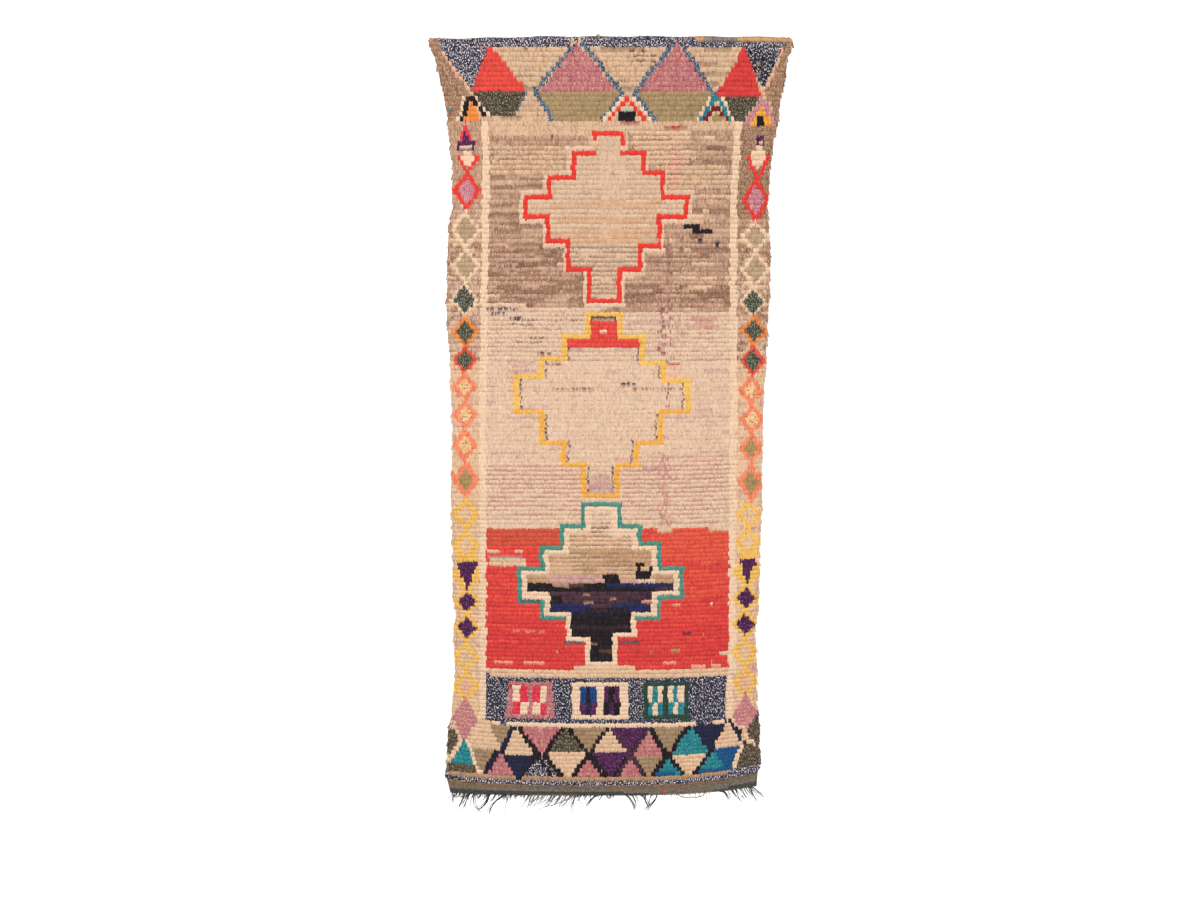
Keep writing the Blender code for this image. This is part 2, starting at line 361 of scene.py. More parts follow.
# Flecks of another wool spun into some of the yarns, over a share of them
FLECKS = read_dyes("""
navy heather: 0.28 234 216 208
window heather: 0.2 230 216 208
black heather: 0.2 226 220 220
line heather: 0.22 176 182 184
dark heather: 0.22 160 138 116
green heather: 0.24 164 144 118
forest: 0.22 170 156 132
speckled: 0.22 132 84 60
side brown: 0.18 216 176 146
brown: 0.14 216 178 150
deep brown: 0.14 196 156 130
border top: 0.12 228 194 164
border mid: 0.1 140 108 100
lavender: 0.22 234 178 168
mauve: 0.18 232 176 160
pink: 0.12 226 166 152
purple: 0.1 150 100 130
teal: 0.1 120 180 180
""")
FLECK_MIDDLE = 0.5
FLECK_SPREAD = 0.13


def fleck_of(yarn):
    """Tones of a yarn's flecks, and how far its noise is raised so that they show."""
    if yarn not in FLECKS:
        return 0.0, 0.0, 0.0, 0.0
    share, *tones = FLECKS[yarn][0]
    return *tones, 1.0 - NormalDist(FLECK_MIDDLE, FLECK_SPREAD).inv_cdf(1.0 - share)


def pick_dyes(yarn, count):
    """Tones for so many knots, picked at random from a yarn's dyes."""
    dyes = YARNS[yarn]
    return dyes[rng.choice(len(dyes), size=count, p=dyes[:, 0] / dyes[:, 0].sum()), 1:]


ROW_SHIFT_PX = 0.45
KNOT_SHIFT_PX = 0.25
LEVEL_PX = 1.0
LINE_END_PX = 1.5
# Painted shade on the tips of each row, a dark line between the rows: light, and deeper where the rows
# stand open
SHALLOW_ROW_SHADE = 0.97
DEEP_ROW_SHADE = 0.76


class Chart:
    """The pattern: two lines for each row of knots, its crest and its tips.

    Both lines of a row share the row's own height, y, which shapes go by. Thin marks go by fine_y.
    """

    def __init__(self, x, fine_y):
        rows = len(x) // 2
        shift = np.repeat(rng.normal(0.0, ROW_SHIFT_PX, (rows, 1)), 2, axis=0)
        each = np.repeat(rng.normal(0.0, KNOT_SHIFT_PX, (rows, x.shape[1])), 2, axis=0)
        self.x = x + shift + each
        self.fine_y = fine_y
        self.y = np.repeat((fine_y[0::2] + fine_y[1::2]) / 2.0, 2, axis=0)
        self.line = np.indices(x.shape)[0]
        self.tips = self.line % 2 == 1
        self.colour = np.zeros(x.shape + (3,))
        self.fleck = np.zeros(x.shape + (4,))
        self.height = np.ones(x.shape)
        # Painted shade between the rows and painted light on the crests, a factor for each knot
        self.groove = np.full(x.shape, SHALLOW_ROW_SHADE)

    def paint(self, mask, yarn):
        """Give the knots of a mask one yarn."""
        self.colour[mask] = pick_dyes(yarn, int(mask.sum()))
        self.fleck[mask] = fleck_of(yarn)

    def between(self, left, right):
        """The knots between two columns."""
        return (self.x >= left) & (self.x < right)

    def box(self, left, right, top, bottom):
        """The knots between two columns and two heights."""
        return self.between(left, right) & (self.y >= top) & (self.y < bottom)

    def inside(self, corners):
        """The knots inside a polygon."""
        mask = np.zeros(self.x.shape, bool)
        last_x, last_y = corners[-1]
        for x, y in corners:
            if y != last_y:
                beside = (self.y > min(y, last_y)) & (self.y <= max(y, last_y))
                edge = last_x + (self.y - last_y) * (x - last_x) / (y - last_y)
                mask ^= beside & (self.x < edge)
            last_x, last_y = x, y
        return mask

    def nearest(self, heights, left, right, y):
        """The line nearest to a height, halfway between two columns."""
        return np.argmin(abs(heights[:, np.argmin(abs(self.x[0] - (left + right) / 2.0))] - y))

    def one_row(self, left, right, y):
        """The row of knots nearest to a height, between two columns."""
        return (self.line // 2 == self.nearest(self.y[0::2], left, right, y)) & self.between(left, right)

    def half_row(self, left, right, y):
        """The half of a row nearest to a height, between two columns."""
        return (self.line == self.nearest(self.fine_y, left, right, y)) & self.between(left, right)

    def rungs(self, left, right, top, bottom, jitter):
        """The crests of each row between two heights, with uneven ends."""
        rows = len(self.x) // 2
        start = np.repeat(left + rng.normal(0.0, jitter, (rows, 1)), 2, axis=0)
        end = np.repeat(right + rng.normal(0.0, jitter, (rows, 1)), 2, axis=0)
        return ~self.tips & (self.x > start) & (self.x < end) & (self.y > top) & (self.y < bottom)

    def streaks(self, length, share, row_pull=0.0, *box):
        """True in runs of about so many knots, over a share of the cloth, and in a box if given."""
        smooth = smooth_runs(self.x.shape, int(length))
        smooth += row_pull * rng.standard_normal((len(self.x), 1))
        mask = smooth > np.quantile(smooth, 1.0 - share)
        return mask & self.box(*box) if box else mask

    def tip_streaks(self, *streak):
        """The same on the tips of the knots alone."""
        return self.streaks(*streak) & self.tips

    def along(self, start, end, width):
        """The knots on a straight stretch of a line: level ones follow a row of knots."""
        (x0, y0), (x1, y1) = start, end
        if abs(y1 - y0) < LEVEL_PX:
            return self.one_row(min(x0, x1) - width / 2.0, max(x0, x1) + width / 2.0, y0)
        middle = x0 + (self.y - y0) * (x1 - x0) / (y1 - y0)
        level = (self.y > min(y0, y1) - LINE_END_PX) & (self.y < max(y0, y1) + LINE_END_PX)
        return level & (abs(self.x - middle) <= width / 2.0)

    def paint_line(self, yarn, width, places):
        """Paint a line from place to place."""
        for start, end in zip(places, places[1:]):
            self.paint(self.along(start, end, width), yarn)

    def diamond(self, middle, top, bottom, half):
        """How far each knot is from a diamond's middle, 1 at its rim."""
        along = abs(self.fine_y - (top + bottom) / 2.0) / ((bottom - top) / 2.0)
        return along + abs(self.x - middle) / half


MASKS = {"patch": Chart.box, "dash": Chart.half_row, "rungs": Chart.rungs, "streaks": Chart.streaks,
         "tips": Chart.tip_streaks}


def draw(chart, marks, within=True):
    """Paint a drawing list in turn: lines are painted whole, other marks only within a mask."""
    for name, numbers, places in read_table(marks):
        kind, yarn = name.split(" ", 1)
        if kind == "line":
            chart.paint_line(yarn, *numbers, places)
        elif kind == "shape":
            chart.paint(chart.inside(places) & within, yarn)
        else:
            chart.paint(MASKS[kind](chart, *numbers) & within, yarn)


def make_chart():
    """An unpainted chart with a place for each half of a knot."""
    x, _ = place_on(ROW_LINES + 1.0, ACROSS)
    _, start_y = place_on(ROW_LINES, ACROSS)
    _, next_y = place_on(ROW_LINES + 2.0, ACROSS)
    y = np.repeat(start_y, 2, axis=0)
    for half, seen_at in enumerate(TUFT_HALVES_AT):
        y[half::2] += (next_y - start_y) * seen_at
    return Chart(chart_x(np.repeat(x, 2, axis=0)), chart_y(y))


# The head: a heather band, triangles in its corners and along its width, and small tents

HEAD_GROUND = """
patch top cream: 400 820 30 121
patch navy heather: 436 792 30 47
patch top cream: 487 489 38 46 / 571 573 40 46 / 577 580 40 46
shape side brown: 420,34 437,34 445,56 471,93 466,99 461,124 430,124
shape side brown: 810,34 791,34 783,54 763,95 772,103 773,127 800,127
shape navy heather: 436,36 491,36 488,50 471,91 443,54 / 745,36 791,36 782,54 763,90 755,76
shape black heather: 746,48 772,52 774,66 764,88 756,78
line peach: 3 441,54 470,93 / 3 783,52 763,95
patch tan: 789 800 30 42 / 425 434 30 42
"""
HEAD_TRIANGLES = """
shape red: 489,45 470,93 528,93
shape crimson: 745,46 716,96 762,96
shape green heather: 472,92 528,92 514,118 489,118
line line heather: 3.5 528,93 515,116
shape green heather: 718,96 762,96 744,121 732,121
shape pink: 577,43 537,95 619,95 / 678,44 635,95 713,95
shape olive: 538,94 619,94 602,119.5 550,119.5 / 637,94 713,94 697,121 655,121
line line heather: 5.5 570,50 534,92 551,118 / 5.5 584,46 622,94 604,118 / 5.5 673,46 634,93 653,118
line line heather: 5.5 684,48 714,95
shape top cream: 530,90 513,119 549,119
"""
SMALL_TENTS = """
line pale cream: 3.4 464,98 459,118 / 3.4 476,99 488,116
line black: 5 469,97 463,118 / 5 471,97 484,115
shape orange: 471,100 465,120 480,120
line pale cream: 4 622,99 606,118 / 4 634,99 649,118
line line red: 4.6 627,100 611,118 / 4.6 628,100 643,118
shape top cream: 628,105 617,119 638,119
patch black: 618 636 111 119.5
dash pale teal: 621 634 110
line pale cream: 3 711,99 698,120 / 3.4 723,99 732,120
line teal: 5 716,97 702,119 / 5 718,97 728,118
line wine: 5 716,107 704,121 / 4 717,107 728,120
shape olive core: 717,111 710,122 724,122
shape lavender: 763,98 743,123 748,127 775,127 770,106
shape tent yellow: 762,107 751,125 772,125
patch black: 757 764 116 126
"""
HEAD_SPECKS = """
dash faded wine: 621 640 124
dash teal: 447 451 111
"""
HEAD_WEAR = """
streaks grey brown: 40 0.10 1.0 480 760 47 121
tips dark brown: 5 0.45 0 631 657 47 62
"""
HEAD_EDGE = """
patch head ochre: 696 790 30 42
patch head grey: 704 737 30 42
"""


def paint_head(chart):
    """The end of the rug with large pink triangles."""
    for marks in (HEAD_GROUND, HEAD_WEAR, HEAD_TRIANGLES, SMALL_TENTS, HEAD_SPECKS):
        draw(chart, marks)
    draw(chart, HEAD_EDGE, chart.line == 0)


# The field: brown, pink-beige and red grounds, each with one stepped medallion

FIELD_GROUNDS = """
patch cream: 400 820 119 800
patch top cream: 486 735 119 139
patch pink beige: 484 735 139 529
"""


def stepped(*turns, level_first=True):
    """Places of a stepped line: x and y of its start, then a new x and a new y by turns."""
    places = [turns[:2]]
    for index, turn in enumerate(turns[2:]):
        x, y = places[-1]
        places.append((turn, y) if (index % 2 == 0) == level_first else (x, turn))
    return places


BROWN_STEPS = (
    stepped(486, 139, 588, 147, 566, 171, 543, 191, 520, 224, 543, 249, 563, 274, 584, 310)
    + [(486, 303)],
    [(628, 134), (738, 134)] + stepped(734, 314, 600, 306, 625, 276, 645, 253, 664, 225, 690)
    + stepped(694, 192, 667, 170, 648, 149, 628),
)
BROWN_STREAKS = """
patch brown: 0 1200 0 900
streaks light brown: 34 0.26 0.8
streaks deep brown: 44 0.16 0.8 / 30 0.20 0.8 0 1200 246 900
streaks cream: 20 0.05 0.6
"""
BROWN_DETAILS = """
patch brown: 488 588 138 147
rungs top cream: 490 564 147 174 4
patch light brown: 570 588 139 148
rungs cream: 631 690 132 168 4
rungs top cream: 654 735 165 192 12
dash dark brown: 550 553 137
dash faded wine: 664 686 128
dash dark red: 672 680 128
dash cream: 489 503 145
dash light brown: 519 543 176
dash cream: 487 520 208
dash light brown: 487 520 191
patch light brown: 706 733 141 146
patch deep brown: 707 728 147 152
dash cream: 692 737 196 / 692 730 204
patch cream: 692 704 214 223
dash cream: 704 732 219
dash light brown: 490 500 227 / 520 540 231
dash cream: 506 540 247 / 528 556 285 / 690 713 265 / 682 706 290
dash dotted navy: 494 516 266
patch light brown: 546 568 301 306
patch black: 684 699 226 231 / 692 712 230 235
dash navy: 698 703 240 / 714 721 242 / 715 719 246
streaks mauve beige: 60 0.05 1.2 486 735 316 470
"""
LOWER_GROOVES = """
dash dotted navy: 487 522 309 / 487 506 313 / 509 523 318
dash dotted brown: 509 540 321
dash dotted wine: 536 562 321
dash dotted navy: 508 534 325
dash dotted brown: 527 548 338 / 516 542 342 / 538 552 353
dash dark red: 668 680 364
rungs row mauve: 692 713 317 330 3
rungs faded pink: 666 682 366 378 3
"""
RED_DETAILS = """
dash cream: 487 500 551 / 514 523 551
dash pale teal: 489 524 558
patch cream: 489 526 559 565
dash salmon: 512 520 632 / 524 534 632 / 538 544 632 / 494 513 662 / 524 545 663 / 663 676 663
patch salmon: 691 705 663 669 / 711 720 662 668
patch cream: 719 730 652 657
dash salmon: 672 680 605
dash plum: 682 690 634
dash olive core: 650 655 652 / 672 681 651
dash pale cream: 702 704 635 / 711 713 604 / 556 558 652
"""


# Knots long, share and row pull of the mauve streaks on the tips, and the boxes that they lie in
MAUVE_ROWS = ((26, 0.70, 0.6), ((486, 582, 462, 516), (622, 730, 452, 522)))
MAUVE_DASHES = ((9, 0.28, 0.4), ((488, 566, 300, 350), (628, 712, 312, 352), (488, 530, 368, 392)))


def paint_mauve(chart, streak, boxes):
    """Faded mauve tips, the same streaks in each box."""
    faded = chart.tip_streaks(*streak)
    for box in boxes:
        chart.paint(faded & chart.box(*box), "row mauve")


def paint_field_grounds(chart):
    """The three grounds of the field and the cream band above them."""
    draw(chart, FIELD_GROUNDS)
    for step in BROWN_STEPS:
        draw(chart, BROWN_STREAKS, chart.inside(step))
    draw(chart, BROWN_DETAILS)
    paint_mauve(chart, *MAUVE_ROWS)
    draw(chart, LOWER_GROOVES)
    paint_mauve(chart, *MAUVE_DASHES)


# The red ground's box, and its jagged edge towards the head
RED_LEFT = 486
RED_RIGHT = 729
RED_TOP = 529
RED_FOOT = 669
JAGGED_FROM = 640
JAG_DEPTH = 2.5
JAG_WIDTH = 9.0
RED_STREAKS = """
patch red: 0 1200 0 900
patch orange red: 650 1200 0 900
patch crimson: 0 1200 600 900
patch brick: 0 562 0 546
streaks red: 50 0.5 1.0 0 1200 578 622
streaks crimson: 36 0.22 1.0 0 1200 560 900
streaks red: 36 0.22 1.0 0 1200 560 900
"""


def paint_red_ground(chart):
    """The red ground with its abrash: brick at the top left, brighter right, crimson below."""
    jagged = chart.y + JAG_DEPTH * np.sin(chart.x / JAG_WIDTH) * (chart.x > JAGGED_FROM)
    ground = chart.between(RED_LEFT, RED_RIGHT) & (jagged >= RED_TOP) & (chart.y < RED_FOOT)
    draw(chart, RED_STREAKS, ground)
    draw(chart, RED_DETAILS)


# The outlines of the medallions, their left and right halves
RED_MEDALLION = (
    stepped(594.5, 133, 154, 573.5, 176.5, 549.5, 196.5, 526, 217.5, 548, 242.5, 568, 268.5, 589.5,
            301, 604, level_first=False),
    stepped(594.5, 133, 622.5, 153, 643.5, 175, 662.5, 196, 688)
    + stepped(684.5, 219.5, 659.5, 247.5, 639.5, 270.5, 619.5, 301, 604),
)
YELLOW_MEDALLION = (
    stepped(587.5, 316.5, 335, 564, 359, 541.5, 379, 516.5, 414, 542, 441.5, 564, 467, 584, 495,
            600, level_first=False),
    stepped(587.5, 316.5, 620, 335.5, 642.5, 362.5, 664, 379.5, 688, 414, 660.5, 441.5, 637, 467,
            617.5, 495, 600),
)
TEAL_MEDALLION = (
    stepped(619, 504, 583, 526.5, 562, 546.5, 542, 570, 519.5, 600, 542, 620, 565),
    stepped(619.5, 504, 524.5, 640, 544.5, 659.5, 568.5, 681.5, 597.5, 659, 618, 637,
            level_first=False),
)
CREAM_MEDALLION = (
    stepped(614, 508, 588, 531, 567, 551, 547, 575, 524.5, 595, 547, 615, 568.5, 638, 588, 662),
    stepped(614.5, 508, 529, 635, 549, 654.5, 573, 676.5, 592.5, 654, 613, 634, 637, 615, 662, 588,
            level_first=False),
)
RED_INNER = """
patch dusty beige: 0 1200 0 900
streaks orange tan: 46 0.50 1.0 550 662 200 243
tips grey brown: 24 0.80 0 550 660 246 302
"""
RED_WIDTH = 4.6
YELLOW_WIDTH = 5.6
CREAM_WIDTH = 5.4
TEAL_WIDTH = 4.4
DEEP_YELLOW_FROM = (7, 8)
MEDALLION_X = 600
DOTS_INSET = 4.6
DOTS_WIDTH = 2.2
YELLOW_GROUND = """
patch pink beige: 0 1200 0 900
streaks mauve beige: 40 0.05 1.2
"""
YELLOW_INNER = """
patch red: 589 617 320 342 / 567 640 341 349
dash pale cream: 600 608 332
dash dark brown: 590 616 319
dash dotted brown: 566 583 321 / 545 563 364
dash dotted wine: 552 596 389 / 633 682 388
dash dotted navy: 619 636 384
rungs mauve beige: 588 614 478 492 2
"""


def medallion_mask(chart, medallion):
    """The knots inside a medallion's outline."""
    left, right = medallion
    return chart.inside(left + right[::-1])


def outline(chart, yarn, width, medallion):
    """A medallion's stepped line."""
    for half in medallion:
        chart.paint_line(yarn, width, half)


def paint_red_medallion(chart):
    """The upper medallion: a red stepped line round beige with orange-tan and grey rows."""
    draw(chart, RED_INNER, medallion_mask(chart, RED_MEDALLION))
    outline(chart, "line red", RED_WIDTH, RED_MEDALLION)
    draw(chart, "patch cream: 590 599 143 151 / 618 627 144 150")


def paint_yellow_medallion(chart):
    """The middle medallion: a yellow stepped line with a dotted brown one inside it."""
    inside = medallion_mask(chart, YELLOW_MEDALLION)
    draw(chart, YELLOW_GROUND, inside)
    line, knot = np.indices(chart.x.shape)
    dots = inside & ((line + knot // 2) % 2 == 0)
    for half in YELLOW_MEDALLION:
        for start, end in zip(half, half[1:]):
            if start[0] == end[0]:
                x = start[0] + (DOTS_INSET if start[0] < MEDALLION_X else -DOTS_INSET)
                near = chart.along((x, start[1]), (x, end[1]), DOTS_WIDTH)
                chart.paint(near & dots, "dark brown")
    draw(chart, YELLOW_INNER)
    outline(chart, "yellow", YELLOW_WIDTH, YELLOW_MEDALLION)
    lower = [half[first:] for half, first in zip(YELLOW_MEDALLION, DEEP_YELLOW_FROM)]
    outline(chart, "deep yellow", YELLOW_WIDTH, lower)


TEAL_INNER = """
dash grey brown: 600 614 524
dash dark brown: 589 608 527 / 590 603 531
shape warm tan: 568,533 634,533 634,552 654,552 654,576 548,576 548,552 568,552
rungs cream: 569 634 534 552 2
patch pale cream: 608 635 530 538
rungs light tan: 549 596 553 564 6
patch light tan: 549 582 564 576
rungs light tan: 598 652 568 576 5
patch warm tan: 527 549 576 583
patch mauve beige: 549 604 577 583 / 620 638 579 583
patch light tan: 620 654 575 579
patch warm tan: 654 677 574 583
patch black: 527 677 583 593
patch faded tan: 552 568 583 588
patch dark brown: 568 584 583 588
patch bright navy: 606 677 583 588
patch plum: 655 677 588 593 / 550 655 592 614
patch black: 550 562 597 605
patch bright navy: 550 590 605 614 / 612 655 605 614
dash black: 586 630 610
patch black: 569 634 613 638
dash navy: 570 603 615
dash plum: 572 630 627
patch black: 589 613 636 662
patch dark brown: 600 612 648 655
dash faded tan: 591 598 645
dash tan: 583 593 603 / 610 617 599
dash salmon: 641 653 601
dash tan: 583 590 595
patch black: 604 620 576 584
dash black: 611 617 574
patch black: 637 651 573 579 / 636 640 564 574 / 641 644 564 567 / 647.5 651.5 565 574
"""
TEAL_STREAKS = """
streaks navy: 34 0.3 1.2 549 654 594 606
tips grey brown: 20 0.55 0 570 632 528 572
"""


def paint_teal_medallion(chart):
    """The lower medallion: teal round cream round beige, tan, navy and black rows."""
    inside = medallion_mask(chart, CREAM_MEDALLION)
    chart.paint(medallion_mask(chart, TEAL_MEDALLION), "pale cream")
    chart.paint(inside, "pink beige")
    draw(chart, TEAL_INNER)
    draw(chart, TEAL_STREAKS, inside)
    outline(chart, "pale cream", CREAM_WIDTH, CREAM_MEDALLION)
    outline(chart, "sea green", TEAL_WIDTH, TEAL_MEDALLION)
    draw(chart, "dash slate: 520 540 600 / 563 584 643 / 619 640 643")


# The side borders: a cream line each, and a column of small diamonds

BORDER_LINES = """
line pale cream: 7 484,118 486.5,200 485,260 483,400 483,672
line pale cream: 7 741,120 738,135 735,170 733,240 734,400 733,450 732,672
"""
FIELD_SIDES = (482, 737)
BORDER_TOP = 119

# Rim and core of each pair of diamonds: the core's share, the half width, then the middle, top
# and bottom of the left one and of the right one
MOTIFS = """
line red, lavender: 0.72 13 467 172 210 756 179 222
pale cream, sage: 0.78 14 466 211 249 755 222 252 / 0.78 14 466 249 283 755 252 288
pale cream, forest: 0.86 13 465 283 317 753 288 316
orange, forest: 0.74 13 465 317 347 754 316 346
orange red, forest: 0.74 12 465 347 373 753 346 376
coral, speckled: 0.6 12 465 373 401 751 376 405 / 0.6 12 465 401 429 752 405 434
coral, speckled: 0.6 12 465 429 461 751 434 463
coral, olive core: 0.62 13 466 461 498 751 463 502
yellow, border low: 0.6 13 466 498 530 749 502 528 / 0.6 13 466 530 560 748 528 556
yellow, yellow: 0.5 14 467 558 592 747 554 588
yellow, purple: 0.76 13 467 588 615 746 584 612 / 0.76 13 467 613 642 745 610 638
yellow, border low: 0.6 13 466 642 671 745 637 667
yellow, peach: 0.62 13 466 671 701 745 667 697
mauve, mauve: 0.5 12 465 698 741 745 694 738
"""
RIM_REACH = 1.10
BORDER_MARKS = """
shape pink red: 465,122 456,146 474,146
shape purple: 465,130 461,142 470,142
patch purple: 457 475 143 153
dash pale cream: 460 472 147
shape pale cream: 467,151 457,159 467,168 477,159
line line red: 4 458,158 467,173 476,158
patch coral: 449 455 471 479
patch yellow: 457 478 553 563
shape purple: 456,563 478,563 467,590
patch side brown: 743 775 123 141
patch purple: 756 764 137 148
dash pale cream: 758 762 143
shape pale cream: 759,146 747,158 757,170 770,158
line line red: 4 749,160 757,180 767,160
patch orange: 764 770 329 337
shape olive core: 751,440 743,449 751,458 759,449
patch yellow: 739 757 549 560
shape purple: 740,560 756,560 747,586
"""
BORDER_GROUNDS = """
patch border top: 0 1200 0 900
streaks border mid: 10 0.30 0.5 0 1200 200 900
patch border mid: 0 1200 280 900
patch border low: 0 1200 362 900
patch side brown: 600 1200 0 222
streaks side brown: 12 0.38 0.6 0 1200 225 362
streaks cream: 14 0.20 0.8 0 1200 240 900
streaks mauve beige: 12 0.08 0.8 0 1200 362 900
"""


def paint_border_grounds(chart):
    """The grounds of the two side borders, browner towards the head."""
    draw(chart, BORDER_GROUNDS, ~chart.between(*FIELD_SIDES) & (chart.y > BORDER_TOP))


def paint_borders(chart):
    """The cream lines, the columns of diamonds with their rims crossing, and what is in them."""
    draw(chart, BORDER_LINES)
    for part in (0, 1):
        for yarns, (core_share, half, *spans), _ in read_table(MOTIFS):
            for span in (spans[:3], spans[3:]):
                reach = (RIM_REACH, core_share)[part]
                chart.paint(chart.diamond(*span, half) <= reach, yarns.split(", ")[part])
    draw(chart, BORDER_MARKS)


# The window band: three framed windows, each with two panes of small checks, on dark heather

WINDOW_BAND = """
patch cream: 482 732 668 678
shape window heather: 486,674 538,679 600,678 655,680 690,679 726,674 725,720 690,727 506,727 486,719
line pale cream: 6 483,668 483,724 / 6 730,668 729,724
shape pink: 509,683 552,683 555,718.5 505.5,718.5
dash dark red: 508 518 686
patch pale cream: 572 628 682.5 718.5
patch bottle green: 643.5 689 682.5 720.5
line pale cream: 6 484,719 500,724 514,727 / 6 690,727 712,724 730,720 / 6 510,726 692,726
"""
PANE_TOP = 687
PANE_MIDDLE = 702
PANE_FOOT = 714.5
# The yarns of the checks, the upper and the lower ones, and the edges of the checks across
PANES = """
pale cream, pink red; pink red, pale cream: 513 520 528
pink red, pale cream; pale cream, pink red: 532.5 540.5 546.5
royal, black, royal; purple, navy, purple: 580 586 590.5 596.5
purple, black, purple; black, purple, black: 603.5 608.5 614 620
pale cream, teal, pale cream; teal, pale cream, teal: 648 652.5 657.5 662.5 / 668 673 677.5 684
"""


def paint_windows(chart):
    """The band and its windows, whose panes have two rows of checks."""
    draw(chart, WINDOW_BAND)
    for yarns, edges, _ in read_table(PANES):
        upper, lower = (row.split(", ") for row in yarns.split("; "))
        for left, right, above, below in zip(edges, edges[1:], upper, lower):
            chart.paint(chart.box(left, right, PANE_TOP, PANE_MIDDLE), above)
            chart.paint(chart.box(left, right, PANE_MIDDLE, PANE_FOOT), below)


# The foot: two rows of triangles with dark beads between them, over a heather band

FOOT_GROUND = """
patch cream: 440 484 722 782
patch border low: 738 770 727 782
patch black: 484 742 728 782
"""
FOOT_TRIANGLES = """
shape mauve: 453,718 479,718 466,742
shape cream: 470,737 478,721 492,721 501,740 500,750 467,750
shape khaki: 489,724 514,729 503,747
shape cream: 517,727 503,755 536,755
shape pink: 522,728 562,728 543,755
shape green heather: 567,727 546,754 587,754
shape khaki: 571,728 607,728 590,753
shape cream: 609,726 592,754 628,754
shape purple: 613,728 648,728 630,752
shape pink: 649,728 633,756 663,756
shape khaki: 652,728 684,728 667,755
shape teal: 692,726 671,755 710,753
shape navy: 696,728 727,721 711,750
shape cream: 729,720 713,748 743,744
shape khaki: 468,749 496,749 481,773
shape pink: 500,751 483,778 516,778
shape navy: 503,754 536,754 517,781
shape navy heather: 541,755 521,779 561,779
shape cream: 546,754 587,754 568,779
shape pink: 590,753 573,778 607,778
shape purple: 593,754 628,754 611,779
shape pink: 630,753 617,778 646,778
shape khaki: 634,755 663,755 649,778
shape teal: 667,755 649,778 685,778
shape blue: 653,773.5 684,773.5 687,779 652,779
shape cream: 671,754 709,752 688,778
shape blue: 713,747 742,744 741,750 736,753 732,769 694,777
shape teal: 713,749 695,772 724,766
"""
FOOT_BEADS = """
line navy: 4.6 514,728 503,748 484,777
line black: 4.6 520,728 538,756 553,778 / 4.6 562,729 545,755 / 4.6 571,730 588,754 604,778
line black: 4.6 607,730 590,753 574,778
line plum: 4 613,730 630,754 645,778 / 4 648,730 632,754 617,778
line black: 4 653,730 668,756 686,778 / 4.6 686,729 669,755 651,778
line navy: 4 697,729 711,750
line black: 4.6 712,750 692,777
line navy: 3.6 729,720 743,742
"""
FOOT_CORNERS = """
patch dark heather: 440 477 762 775
shape dark heather: 440,724 452,725 460,738 451,753 440,753
line pale cream: 4 463,740 451,760
shape teal: 465,739 451,763 474,763
line pale cream: 3.4 468,742 479,771
shape dark heather: 757,713 746,733 753,745 770,748 770,713 / 745,742 734,769 770,769 770,748
line pale cream: 4 742,745 733,769 / 3 747,735 756,746
"""
TAN_BAND = (450, 727)
POINT_X = 518.5
POINT_HALF = 3.0


def paint_foot_band(chart):
    """The last rows of knots: a tan one, broken by a navy point, and a heather one."""
    row = chart.line // 2
    inner = chart.between(*TAN_BAND)
    point = abs(chart.x - POINT_X) < POINT_HALF
    chart.paint((row == ROWS - 1) & inner & ~point, "band tan")
    chart.paint((row == ROWS - 1) & ~inner, "navy heather")
    chart.paint(row == ROWS, "navy heather")


def paint_foot(chart):
    """The window band, the two rows of triangles and the heather band below them."""
    paint_windows(chart)
    for marks in (FOOT_GROUND, FOOT_TRIANGLES, FOOT_BEADS, FOOT_CORNERS):
        draw(chart, marks)
    paint_foot_band(chart)


# Wear: a worn crease along the rug, painted shade between the rows, and the unevenness of hand-spun,
# hand-dyed wool

CREASE_X = 670.0
CREASE_HALF = 6.0
CREASE_DEPTH = 0.10
CREASE_SHARE = 0.7
CREASE_TOP = 150
CREASE_FOOT = 527
CREASE_RUNGS = """
faded pink: 670 680 150 194 1.5
light brown: 660 678 240 314 5
faded wine: 667 671 240 314 1.5 / 660 664 300 357 1.5 / 668 671 316 374 1.5
mauve beige: 674 683 316 350 2
faded wine: 666 669 384 410 1.5
row mauve: 660 670 452 527 2
"""


def wear(chart):
    """Short pile and bare threads down the worn crease."""
    for yarn, rungs, _ in read_table(CREASE_RUNGS):
        worn = rng.random(chart.x.shape) < CREASE_SHARE
        chart.paint(worn & chart.rungs(*rungs), yarn)
    shown = (chart.y > CREASE_TOP) & (chart.y < CREASE_FOOT)
    near = np.exp(-((chart.x - CREASE_X) / CREASE_HALF) ** 2)
    chart.height -= np.where(shown, CREASE_DEPTH * near, 0.0)


# Left, right, top and bottom of each stretch of rows that stand open, where the painted shade between
# the rows is deepest
DEEP_SHADE_STRETCHES = (
    (400, 820, 30, 119), (486, 600, 138, 316), (625, 740, 128, 316), (486, 735, 300, 360),
    (486, 735, 462, 524), (486, 730, 529, 669), (400, 484, 200, 372), (737, 820, 120, 372),
    (400, 484, 500, 666), (737, 820, 560, 666), (400, 820, 666, 800),
)
# Painted light on the crests, as a share of the painted shade on the tips
CREST_PAINTED_LIGHT = 0.35


def paint_row_shade(chart):
    """Painted shade: darker lines between the rows, deepest where the pile stands open, and painted
    light on the crests.
    """
    for stretch in DEEP_SHADE_STRETCHES:
        chart.groove[chart.box(*stretch)] = DEEP_ROW_SHADE
    chart.groove[0::2] = 1.0 + (1.0 - chart.groove[1::2]) * CREST_PAINTED_LIGHT


ROW_SPREAD = 0.014
RUN_SPREAD = 0.022
KNOT_SPREAD = 0.04
RUN_LENGTH = 18


